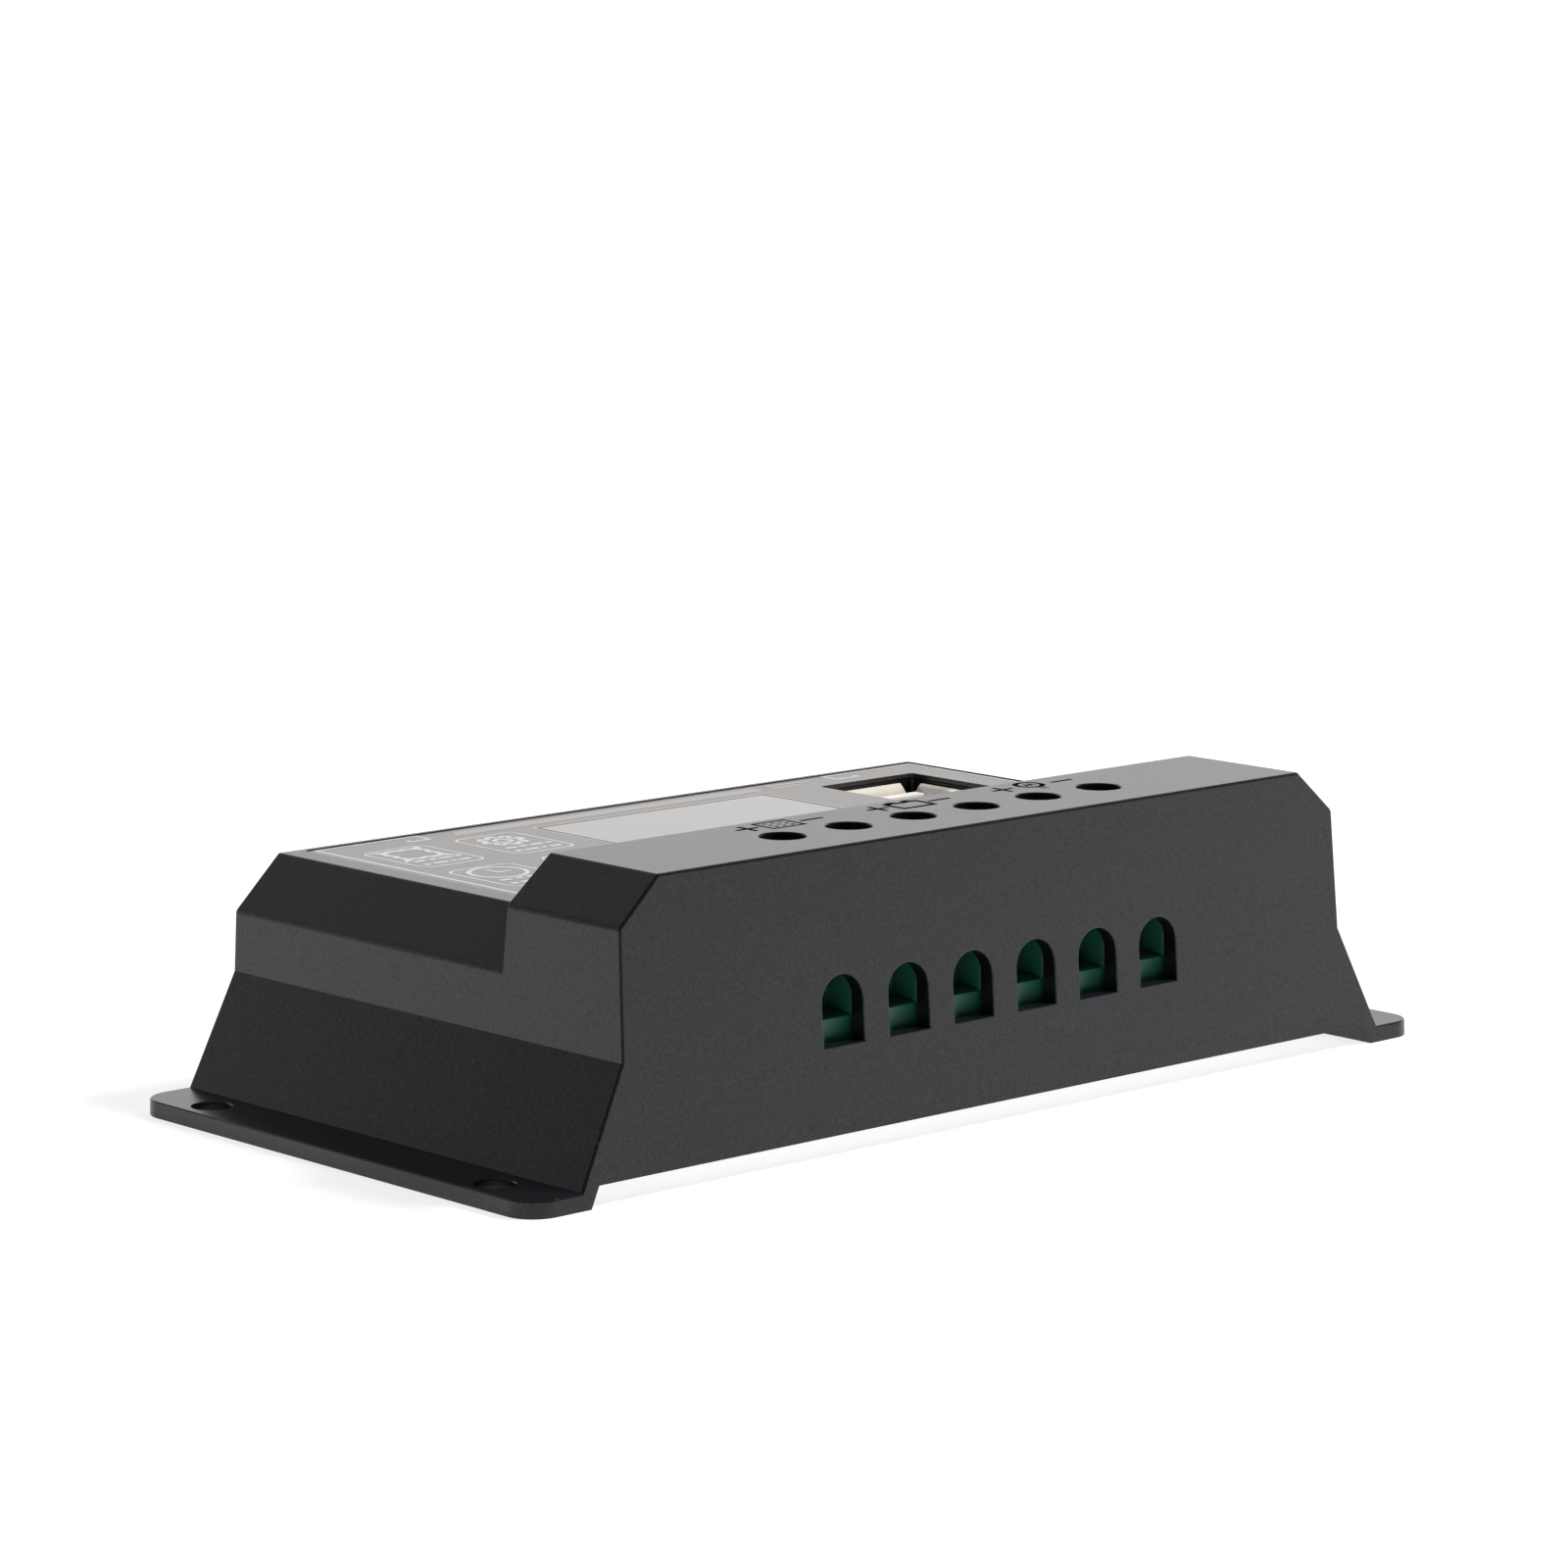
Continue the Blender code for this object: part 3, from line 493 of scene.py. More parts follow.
def moulded(name, colour, roughness, grain=0.35, depth=0.012, dust=0.0, spread=0.25, glint=0.0):
    """Moulded plastic: fine grain in tone, gloss and relief, slow shifts of tone, and specks of dust."""
    look = Look(name, colour, roughness)
    slow = look.noise(14.0, 2.0)
    fine = look.noise(grain, 2.0, 0.6)
    darker = tuple(c * (1 - spread) for c in colour)
    lighter = tuple(c * (1 + spread) for c in colour)
    shares = look.maths("MULTIPLY", slow, 0.6), look.maths("MULTIPLY", fine, 0.4)
    tone = look.blend(look.maths("ADD", *shares), darker, lighter)
    if dust:
        near = look.ranged(look.cells(1.6), 0.03, 0.065, 1.0, 0.0)
        chosen = look.ranged(look.cells(1.6, output="Color"), 1 - dust, 1 - dust + 0.02, 0.0, 1.0)
        normal = look.nodes.new("ShaderNodeSeparateXYZ")
        look.links.new(look.nodes.new("ShaderNodeNewGeometry").outputs["Normal"], normal.inputs[0])
        settled = look.ranged(normal.outputs["Z"], 0.1, 0.45, 0.08, 0.4)
        specks = look.maths("MULTIPLY", look.maths("MULTIPLY", near, chosen), settled)
        tone = look.blend(specks, tone, (0.3, 0.3, 0.29))
    look.colour(tone)
    look.roughness(look.ranged(fine, 0.3, 0.7, roughness - 0.03, roughness + 0.03))
    if glint:
        shine = look.ranged(fine, 0.3, 0.7, PLASTIC_SHINE * (1 - glint), PLASTIC_SHINE * (1 + glint))
        look.links.new(shine, look.shader.inputs["Specular IOR Level"])
    if depth:
        look.bump(fine, depth)
    return look.made


def metal(name, colour, roughness, brushed=(1, 1, 1), scratch=0.002, metallic=1.0):
    """Plated or rolled metal, faintly grained along one axis. Satin plating is less than fully metallic."""
    look = Look(name, colour, roughness, metallic)
    lines = look.noise(0.25, 3.0, 0.6, look.stretched(*brushed))
    darker = tuple(c * 0.86 for c in colour)
    lighter = tuple(min(1, c * 1.08) for c in colour)
    look.colour(look.blend(look.noise(4.0, 3.0), darker, lighter))
    look.roughness(look.ranged(lines, 0.3, 0.7, max(0.05, roughness - 0.08), roughness + 0.1))
    look.bump(lines, scratch)
    return look.made


def printed(name, colour, roughness=0.2):
    """Screen printed ink: even, with slightly ragged cover."""
    look = Look(name, colour, roughness)
    cover = look.ranged(look.noise(0.18, 2.0), 0.25, 0.6, 0.0, 1.0)
    look.colour(look.blend(cover, tuple(c * 0.8 for c in colour), colour))
    return look.made


# ---------------------------------------------------------------- camera, floor and light


def toward(azimuth, elevation):
    """The direction of an azimuth and an elevation. Azimuth 0 is the wire side, and +X is a quarter turn."""
    flat = math.cos(elevation)
    return Vector((math.sin(azimuth) * flat, -math.cos(azimuth) * flat, math.sin(elevation)))


def make_camera():
    back = toward(VIEW_AZIMUTH, VIEW_ELEVATION)
    data = bpy.data.cameras.new("camera")
    data.sensor_width = 36.0
    data.lens = 118.6
    data.clip_start = 0.01
    data.clip_end = 50.0
    camera = linked("camera", data)
    camera.location = Vector((-436.2, -473.2, 141.5)) * MM
    camera.rotation_mode = "QUATERNION"
    camera.rotation_quaternion = (-back).to_track_quat("-Z", "Y")
    bpy.context.scene.camera = camera


def make_floor():
    """A pale sheet that fills the view and ends a little in front of it. Its glow grows with distance."""
    look = Look("floor_paper", (0.3, 0.305, 0.325), 0.9)
    reach = look.nodes.new("ShaderNodeVectorMath")
    reach.operation = "LENGTH"
    look.links.new(look.place, reach.inputs[0])
    glow = look.ranged(reach.outputs["Value"], 0.3, 1.3, FLOOR_GLOW, 1.15)
    look.links.new(glow, look.shader.inputs["Emission Strength"])
    look.set(Emission_Color=(1.0, 1.0, 1.0, 1.0))
    near, far = 330.0, 20000.0
    outline = [(-far, -near), (far, -near), (far, far), (-far, far)]
    sheet = extruded(outline, -20.0, 0.0, "Z")
    bmesh.ops.rotate(sheet, verts=sheet.verts, matrix=Matrix.Rotation(VIEW_AZIMUTH, 3, "Z"))
    floor = linked("floor", finish(sheet))
    floor.data.materials.append(look.made)


def area_light(name, energy, size, azimuth, elevation, distance):
    """A soft light that faces the object. Azimuth 0 is the wire side, 90 the +X side."""
    side = toward(math.radians(azimuth), math.radians(elevation))
    data = bpy.data.lights.new(name, "AREA")
    data.shape = "RECTANGLE"
    data.size, data.size_y = size
    data.energy = energy
    light = linked(name, data)
    light.location = side * distance
    light.rotation_mode = "QUATERNION"
    light.rotation_quaternion = side.to_track_quat("Z", "Y")
    return light


def mixed_node(tree, amount, first, second):
    """A number between first and second. Each is a number or another node's output."""
    node = tree.nodes.new("ShaderNodeMix")
    tree.links.new(amount, node.inputs["Factor"])
    for name, level in (("A", first), ("B", second)):
        if isinstance(level, float):
            node.inputs[name].default_value = level
        else:
            tree.links.new(level, node.inputs[name])
    return node.outputs["Result"]


def along_node(tree, direction, towards):
    """How far a direction points towards another, as a dot product."""
    node = tree.nodes.new("ShaderNodeVectorMath")
    node.operation = "DOT_PRODUCT"
    node.inputs[1].default_value = towards
    tree.links.new(direction, node.inputs[0])
    return node.outputs["Value"]


def make_light():
    """A surround and a high key on the wire side.

    The surround is brightest beyond the object, dim overhead and dark behind the camera. The key casts light
    and shadow, and isn't seen in reflections.
    """
    world = bpy.data.worlds.new("studio")
    world.use_nodes = True
    tree = world.node_tree
    direction = tree.nodes.new("ShaderNodeTexCoord").outputs["Generated"]
    beyond = toward(VIEW_AZIMUTH + math.pi, 0.0)
    away = along_node(tree, direction, beyond)
    height = along_node(tree, direction, Vector((0.0, 0.0, 1.0)) - beyond * 0.3)
    horizon = ranged_node(tree, away, 0.0, 0.9, HORIZON, FAR_SIDE)
    upper = mixed_node(tree, ranged_node(tree, height, 0.08, 0.28), horizon, SKY)
    level = mixed_node(tree, ranged_node(tree, away, 0.25, 0.0), upper, DARK_SIDE)
    background = tree.nodes["Background"]
    tint = mixed_colour(tree, ranged_node(tree, away, 0.1, 0.8), COOL, WARM)
    tree.links.new(tint, background.inputs["Color"])
    tree.links.new(level, background.inputs["Strength"])
    bpy.context.scene.world = world
    key = area_light("key", KEY_POWER, (0.28, 0.28), 58, 50, 1.3)
    key.visible_glossy = False
    bpy.context.scene.view_settings.view_transform = "Standard"


# ---------------------------------------------------------------- housing


def mirrored(half):
    return half + [(-x, z) for x, z in reversed(half)]


def inset(path, distance):
    """An open path moved to its left by distance, with its corners kept sharp."""
    lines = []
    for start, end in zip(path, path[1:]):
        along = (Vector(end) - Vector(start)).normalized()
        left = Vector((-along.y, along.x)) * distance
        lines.append((Vector(start) + left, Vector(end) + left))
    points = [lines[0][0]]
    for (a, b), (c, d) in zip(lines, lines[1:]):
        across = (b - a).cross(d - c)
        points.append(a + (b - a) * ((c - a).cross(d - c) / across))
    points.append(lines[-1][1])
    return [(point.x, point.y) for point in points]


def front_y(z):
    return -(WIDTH / 2 - FRONT_DRAFT * z)


def back_y(z):
    return WIDTH / 2 - BACK_DRAFT * z


def step_y(z):
    return STEP_Y + STEP_DRAFT * (RIDGE_TOP - z)


def end_x(z):
    return KINK[0] - END_DRAFT * (z - KINK[1])


def slope_x(z):
    lean = (SLOPE_FOOT_X - KINK[0]) / (KINK[1] - FLANGE_TOP)
    return SLOPE_FOOT_X - lean * (z - FLANGE_TOP)


def deck_outline(drop):
    """What is above the deck, as an XZ outline, with the deck and its end chamfers moved in by drop."""
    foot = (end_x(DECK_CHAMFER_FOOT), DECK_CHAMFER_FOOT)
    edge = (DECK_CHAMFER_X, RIM_TOP)
    out = (foot[0] - edge[0], foot[1] - edge[1])
    far = (edge[0] + 1.8 * out[0], edge[1] + 1.8 * out[1])
    path = inset([far, edge, (-edge[0], edge[1]), (-far[0], far[1])], drop)
    wide, high = LENGTH, 2 * RIDGE_TOP
    return path + [(-wide, path[-1][1]), (-wide, high), (wide, high), (wide, path[0][1])]


def edge_round(edge):
    """How far a convex outside edge of the housing is rounded off, in millimetres."""
    a, b = edge.verts[0].co, edge.verts[1].co
    middle = (a + b) / 2
    along = (b - a).normalized()
    if edge.calc_face_angle(0.0) < math.radians(20) or not edge.is_convex:
        return 0.0
    if middle.z < 0.1:
        return 0.3
    on_front = abs(middle.y - front_y(middle.z)) < 0.3
    on_back = abs(middle.y - back_y(middle.z)) < 0.3
    if middle.z < FLANGE_TOP + 0.1:
        return 0.8 if on_front else 0.55
    if abs(along.y) > 0.9:
        foot = abs(abs(middle.x) - end_x(middle.z)) < 0.3
        return 1.3 if foot else 0.5
    if on_front:
        return 0.95 if middle.z > KINK[1] else 0.8
    return 0.5 if on_back else 0.4


def outer_shell():
    """The outside of the housing, solid, with each edge rounded as the moulding is."""
    half = [
        (LENGTH / 2, 0.0),
        (LENGTH / 2, FLANGE_TOP),
        (SLOPE_FOOT_X, FLANGE_TOP),
        KINK,
        (end_x(RIDGE_CHAMFER_FOOT), RIDGE_CHAMFER_FOOT),
        (RIDGE_CHAMFER_X, RIDGE_TOP),
    ]
    tall = extruded(mirrored(half), front_y, back_y, "Y")
    corners = []
    for edge in tall.edges:
        a, b = (v.co for v in edge.verts)
        upright = abs(a.x - b.x) < 0.01 and abs(a.z - b.z) > 1.0
        if upright and abs(a.x) > LENGTH / 2 - 0.1:
            corners.append(edge)
    bmesh.ops.bevel(
        tall,
        geom=corners,
        offset=FLANGE_CORNER,
        offset_type="OFFSET",
        affect="EDGES",
        segments=10,
        profile=0.5,
    )
    above_deck = extruded(deck_outline(0.0), step_y, WIDTH, "Y")
    shape = reopened(combined(tall, ("DIFFERENCE", above_deck)))
    bmesh.ops.dissolve_limit(shape, angle_limit=0.01, verts=shape.verts, edges=shape.edges)
    largest = 1.3
    weights = shape.edges.layers.float.new("bevel_weight_edge")
    for edge in shape.edges:
        edge[weights] = edge_round(edge) / largest
    body = linked("body", finish(shape))
    step = body.modifiers.new("round", "BEVEL")
    step.width = largest * MM
    step.segments = 6
    step.limit_method = "WEIGHT"
    mesh = applied(body)
    bpy.data.objects.remove(body)
    return mesh


def cavity():
    """The space inside the housing, one wall in from its outside."""
    path = [
        (slope_x(-OVERRUN), -OVERRUN),
        KINK,
        (end_x(RIDGE_CHAMFER_FOOT), RIDGE_CHAMFER_FOOT),
        (RIDGE_CHAMFER_X, RIDGE_TOP),
        (-RIDGE_CHAMFER_X, RIDGE_TOP),
    ]
    half = inset(path, WALL)[:4]
    tall = extruded(mirrored(half), lambda z: front_y(z) + WALL, lambda z: back_y(z) - WALL, "Y")
    above = extruded(deck_outline(RIM_TOP - DECK_CEILING), lambda z: step_y(z) - WALL, WIDTH, "Y")
    return reopened(combined(tall, ("DIFFERENCE", above)))


def skirt_relief():
    """The space under the front and back walls, between the two feet."""
    clear = WALL * 1.15
    outline = [(slope_x(z) - clear, z) for z in (-OVERRUN, SKIRT_CLEARANCE)]
    return extruded(mirrored(outline), -WIDTH, WIDTH, "Y")


def arch(centre, grow=0.0, steps=18):
    """A wire window's outline: a rectangle with a round head, made larger all round by grow."""
    half = WINDOW_HALF + grow
    outline = [(centre - half, WINDOW_LOW - grow), (centre + half, WINDOW_LOW - grow)]
    for i in range(steps + 1):
        turn = math.pi * i / steps
        outline.append((centre + half * math.cos(turn), WINDOW_TOP - WINDOW_HALF + half * math.sin(turn)))
    return outline


def window_cutter(centre):
    """A wire window through the front wall, with a small round at the outer edge."""
    edge = 0.16
    rings = []
    depths = ((-OVERRUN, edge), (0.0, edge), (edge * 0.3, edge * 0.3), (edge, 0.0), (WALL + 1.6, 0.0))
    for depth, grow in depths:
        rings.append([(x, front_y(z) + depth, z) for x, z in arch(centre, grow)])
    return lofted(rings)


def hole_cutter(radius, top, depth, edge, x, y, sides=48):
    """A round hole down from a flat top face, with a rounded mouth."""
    profile = [(0.0, top - depth), (radius, top - depth), (radius, top - edge)]
    profile += [(radius + edge * 0.3, top - edge * 0.3), (radius + edge, top), (radius + edge, top + OVERRUN)]
    profile.append((0.0, top + OVERRUN))
    return moved(turned(profile, sides), x, y)


def cross(reach_x, reach_y, thin):
    """A cross's outline as twelve points. Each arm is twice thin across."""
    return [(thin, thin), (thin, reach_y), (-thin, reach_y), (-thin, thin), (-reach_x, thin),
            (-reach_x, -thin), (-thin, -thin), (-thin, -reach_y), (thin, -reach_y), (thin, -thin),
            (reach_x, -thin), (reach_x, thin)]


def deck_holes(through):
    """Cutters for the display, the sockets and the keys, from one height to another."""
    cutters = [
        extruded(rounded_rectangle(DISPLAY_X, DISPLAY_Y, 0.5), *through, "Z"),
        extruded(rounded_rectangle(SOCKET_X, SOCKET_Y, 0.6), *through, "Z"),
    ]
    for x in KEY_X:
        cutters.append(extruded(circle(KEY_R + 0.3, (x, KEY_Y)), *through, "Z"))
    return cutters


def ridge_marks():
    """Cutters for the marks by the terminals: plus, minus, and a panel, a battery and a lamp."""
    low, high = RIDGE_TOP - MARK_DEPTH, RIDGE_TOP + 1.0
    row = MARK_ROW
    cutters = []
    for group in range(POLES // 2):
        left, right = POLE_X[2 * group], POLE_X[2 * group + 1]
        middle = (left + right) / 2
        arm, thin = 1.8, 0.34
        plus = [(middle - 5.2 + x, row + y) for x, y in cross(arm, arm, thin)]
        cutters.append(extruded(plus, low, high, "Z"))
        cutters.append(box((middle + 3.4, middle + 7.2), (row - thin, row + thin), (low, high)))
        if group == 0:
            left_x, right_x = middle - 2.6, middle + 2.4
            outline = [(left_x, row - 2.0), (right_x, row - 2.0), (right_x, row + 2.0), (left_x, row + 2.0)]
            cutters.append(stroke(outline, MARK_LINE * 0.7, low, high, closed=True))
            for i in range(3):
                for j in range(3):
                    x, y = middle - 1.4 + 1.3 * i, row - 1.1 + 1.1 * j
                    cutters.append(box((x - 0.33, x + 0.33), (y - 0.25, y + 0.25), (low, high)))
        elif group == 1:
            case = [(-2.6, -2.0), (2.6, -2.0), (2.6, 1.4), (1.8, 1.4), (1.8, 2.0), (0.9, 2.0), (0.9, 1.4),
                    (-0.9, 1.4), (-0.9, 2.0), (-1.8, 2.0), (-1.8, 1.4), (-2.6, 1.4)]
            outline = [(middle + x, row + y) for x, y in case]
            cutters.append(stroke(outline, MARK_LINE, low, high, closed=True))
        else:
            bulb = circle(1.75, (middle, row + 0.5), 28)
            cutters.append(stroke(bulb, MARK_LINE, low, high, closed=True))
            twist = [(-0.8, -0.1), (-0.4, 0.9), (0.0, 0.1), (0.4, 0.9), (0.8, -0.1)]
            cutters.append(stroke([(middle + x, row + y) for x, y in twist], 0.4, low, high))
            for drop in (2.1, 2.7):
                y = (row - drop, row - drop + 0.3)
                cutters.append(box((middle - 0.7, middle + 0.7), y, (low, high)))
    return together(*cutters)


def make_housing(look):
    """The hollow housing, with its bosses, screw ways, label recess, holes and marks."""
    ridge_ceiling = RIDGE_TOP - WALL / 2
    bosses = []
    for node in numbered("plate_screw", 4):
        bosses.append(extruded(circle(PLATE_BOSS_R, centre_of(node)), *PLATE_BOSS_Z, "Z"))
    for node in numbered("board_screw", 4):
        x, y = centre_of(node)
        top = ridge_ceiling if y < 0 else DECK_CEILING + 0.6
        bosses.append(extruded(circle(BOARD_BOSS_R, (x, y)), BOARD_BOSS_LOW, top, "Z"))
    screw_ways = []
    for node in numbered("plate_screw", 4) + numbered("board_screw", 4):
        low, high = cad_box(node)
        screw_ways.append(extruded(circle(SCREW_WAY_R, centre_of(node), 24), low.z, high.z + 0.4, "Z"))
    for x in POLE_X:
        bosses.append(extruded(circle(ACCESS_R + 0.9, (x, AXIS_Y)), ACCESS_BOSS_LOW, ridge_ceiling, "Z"))
    rings = []
    for z, grow in ((LABEL_LOW.z - 0.1, 0.0), (RIM_TOP - 0.22, 0.0), (RIM_TOP - 0.1, 0.05),
                    (RIM_TOP + 0.05, 0.25), (RIM_TOP + OVERRUN, 0.25)):
        x = (RECESS_X[0] - grow, RECESS_X[1])
        y = (RECESS_Y[0], RECESS_Y[1] + grow)
        rings.append([(*point, z) for point in rounded_rectangle(x, y, 0.8)])
    recess = lofted(rings)
    cutters = deck_holes((DECK_CEILING - 1.0, RIM_TOP))
    for x in POLE_X:
        cutters.append(hole_cutter(ACCESS_R, RIDGE_TOP, 2 * WALL, 0.16, x, AXIS_Y, 64))
        cutters.append(window_cutter(x))
    x, y, radius = FLANGE_HOLE
    for side in (-1, 1):
        for end in (-1, 1):
            cutters.append(hole_cutter(radius, FLANGE_TOP, 2 * FLANGE_TOP, 0.2, end * x, side * y))
    mesh = combined(
        outer_shell(),
        ("DIFFERENCE", cavity()),
        ("DIFFERENCE", skirt_relief()),
        ("UNION", together(*bosses)),
        ("DIFFERENCE", recess),
        ("DIFFERENCE", together(*cutters, *screw_ways)),
        ("DIFFERENCE", ridge_marks()),
    )
    place("housing_shell", mesh, look, stands_for=("housing",), sharp=18)


# ---------------------------------------------------------------- deck


def on_label(outline):
    """Print on the label: a filled outline."""
    return extruded(outline, LABEL_TOP + PRINT_LOW, LABEL_TOP + PRINT_HIGH, "Z")


def line(points, width, closed=False):
    """Print on the label: a line through points."""
    return stroke(points, width, LABEL_TOP + PRINT_LOW, LABEL_TOP + PRINT_HIGH, closed)


def bar_row(x, y, widths, height=0.8, gap=0.45):
    """A row of short bars that stands for a line of print."""
    bars = []
    for width in widths:
        bars.append(on_label([(x, y), (x + width, y), (x + width, y + height), (x, y + height)]))
        x += width + gap
    return bars


def gear(centre, radius, teeth=8):
    """A gear wheel's outline."""
    points = []
    for i in range(teeth):
        for share, reach in ((-0.3, 0.76), (-0.17, 1.0), (0.17, 1.0), (0.3, 0.76)):
            turn = 2 * math.pi * (i + share) / teeth
            out = radius * reach
            points.append((centre[0] + out * math.cos(turn), centre[1] + out * math.sin(turn)))
    return points


def panel_icon(centre, half=3.2):
    """A square ring with drawn-out corners and notched sides."""
    points = []
    for quarter in range(4):
        turn = math.pi / 2 * quarter
        for along, out in ((-1.12, 1.12), (-0.72, 0.86), (-0.3, 0.98), (0.0, 0.84), (0.3, 0.98),
                           (0.72, 0.86)):
            x, y = half * out, half * along
            points.append(
                (centre[0] + x * math.cos(turn) - y * math.sin(turn),
                 centre[1] + x * math.sin(turn) + y * math.cos(turn))
            )
    return points


def label_print():
    """The white print: a border with two folded ends, framed icons, and bars in place of words."""
    left, right = RECESS_X[0] + 1.3, RECESS_X[1] - 0.7
    back, front = RECESS_Y[1] - 0.55, RECESS_Y[0] + 1.2
    fold = back - 2.9
    border = [(-36.8, fold + 1.0), (-36.8, fold), (-33.8, fold), (-33.8, back), (left, back)]
    border += [(left, front), (right, front), (right, back), (36.8, back), (36.8, fold)]
    border += [(40.7, fold), (40.7, fold + 1.0)]
    pieces = [line(border, 0.5)]
    frames = [(-47.1, 16.6), (-32.6, 16.5), (-47.3, -0.5), (-32.6, -0.5)]
    middles = []
    for x, y in frames:
        pieces.append(line(rounded_rectangle((x, x + 9.8), (y, y + 13.2), 1.6), 0.36, closed=True))
        middles.append((x + 4.9, y + 8.9))
        pieces += bar_row(x + 1.5, y + 3.9, (1.9, 1.2, 2.2, 0.9))
        pieces += bar_row(x + 1.2, y + 1.5, (1.1, 2.3, 0.8, 1.9))
    pieces.append(line(panel_icon(middles[0]), 0.8, closed=True))
    pieces.append(line(gear(middles[1], 3.0), 0.65, closed=True))
    pieces.append(line(circle(1.1, middles[1], 20), 0.6, closed=True))
    clock = middles[2]
    pieces.append(line(circle(3.6, clock, 40), 0.6, closed=True))
    pieces.append(line([(clock[0], clock[1] + 2.4), clock, (clock[0] + 2.0, clock[1])], 0.5))
    x, y = middles[3]
    pieces.append(line([(x - 2.6, y - 2.2), (x, y + 2.9), (x + 2.6, y - 2.2)], 0.5, closed=True))
    for i, x in enumerate(KEY_X):
        pieces.append(line(circle(KEY_R + 1.1, (x, KEY_Y), 48), 0.22, closed=True))
        under = KEY_Y - KEY_R - 3.6
        if i == 0:
            pieces += bar_row(x - 1.9, under, (1.6, 1.0, 0.8), 0.7, 0.3)
        else:
            tip = 1.3 if i == 2 else -1.3
            base = under + 0.7 - tip / 2
            pieces.append(on_label([(x - 1.2, base), (x + 1.2, base), (x, base + tip)]))
    frame_x = (DISPLAY_X[0] - 0.5, DISPLAY_X[1] + 0.5)
    frame_y = (DISPLAY_Y[0] - 0.5, DISPLAY_Y[1] + 0.5)
    pieces.append(line(rounded_rectangle(frame_x, frame_y, 0.7, 3), 0.2, closed=True))
    for c in (-1, 1):
        x = sum(SOCKET_X) / 2 + c * 4.6
        pieces += bar_row(x - 1.4, SOCKET_Y[0] - 2.2, (1.2, 0.7, 0.6), 0.7, 0.25)
    return together(*pieces)


def make_label(film, white, red):
    """The film over the deck, its white print and its dark stripes."""
    x = (RECESS_X[0] + 0.02, RECESS_X[1] - 0.02)
    y = (RECESS_Y[0] + 0.02, RECESS_Y[1] - 0.02)
    holes = deck_holes((LABEL_LOW.z - 1.0, LABEL_TOP + 1.0))
    sheet = extruded(rounded_rectangle(x, y, 0.7), LABEL_LOW.z, LABEL_TOP, "Z")
    mesh = bevelled(combined(sheet, ("DIFFERENCE", together(*holes))), 0.07)
    place("label_film", mesh, film, stands_for=("label_overlay",))
    place("label_lines", finish(label_print()), white)
    back = RECESS_Y[1] - 1.4
    stripes = [
        on_label([(-30.0, back - 2.6), (23.0, back - 2.6), (23.0, back), (-28.4, back)]),
        on_label([(25.0, back - 2.6), (30.4, back - 2.6), (30.4, back - 1.6), (25.0, back - 1.6)]),
        on_label([(25.0, back - 1.0), (33.6, back - 1.0), (33.6, back), (25.0, back)]),
    ]
    place("label_stripe", finish(together(*stripes)), red)


def make_display(clear, glass):
    """The clear pane in the label, and the display's two sheets of glass with the seal between them."""
    x, y = (DISPLAY_LOW.x, DISPLAY_HIGH.x), (DISPLAY_LOW.y, DISPLAY_HIGH.y)
    pane = extruded(rounded_rectangle(x, y, 0.45), DISPLAY_LOW.z, LABEL_TOP, "Z")
    mesh = bevelled(finish(pane), 0.09, 3)
    place("display_pane", mesh, clear, stands_for=("display_window",))
    low, high = cad_box("lcd_glass")
    middle = low.z + 1.1
    upper = box((low.x, high.x), (low.y + 1.6, high.y), (middle + 0.06, high.z))
    lower = box((low.x, high.x), (low.y, high.y), (low.z, middle))
    seal_x, seal_y = (low.x + 0.4, high.x - 0.4), (low.y + 2.0, high.y - 0.4)
    seal = box(seal_x, seal_y, (middle - 0.02, middle + 0.08))
    mesh = bevelled(finish(together(upper, lower, seal)), 0.05)
    place("lcd_cell", mesh, glass, stands_for=("lcd_glass",))


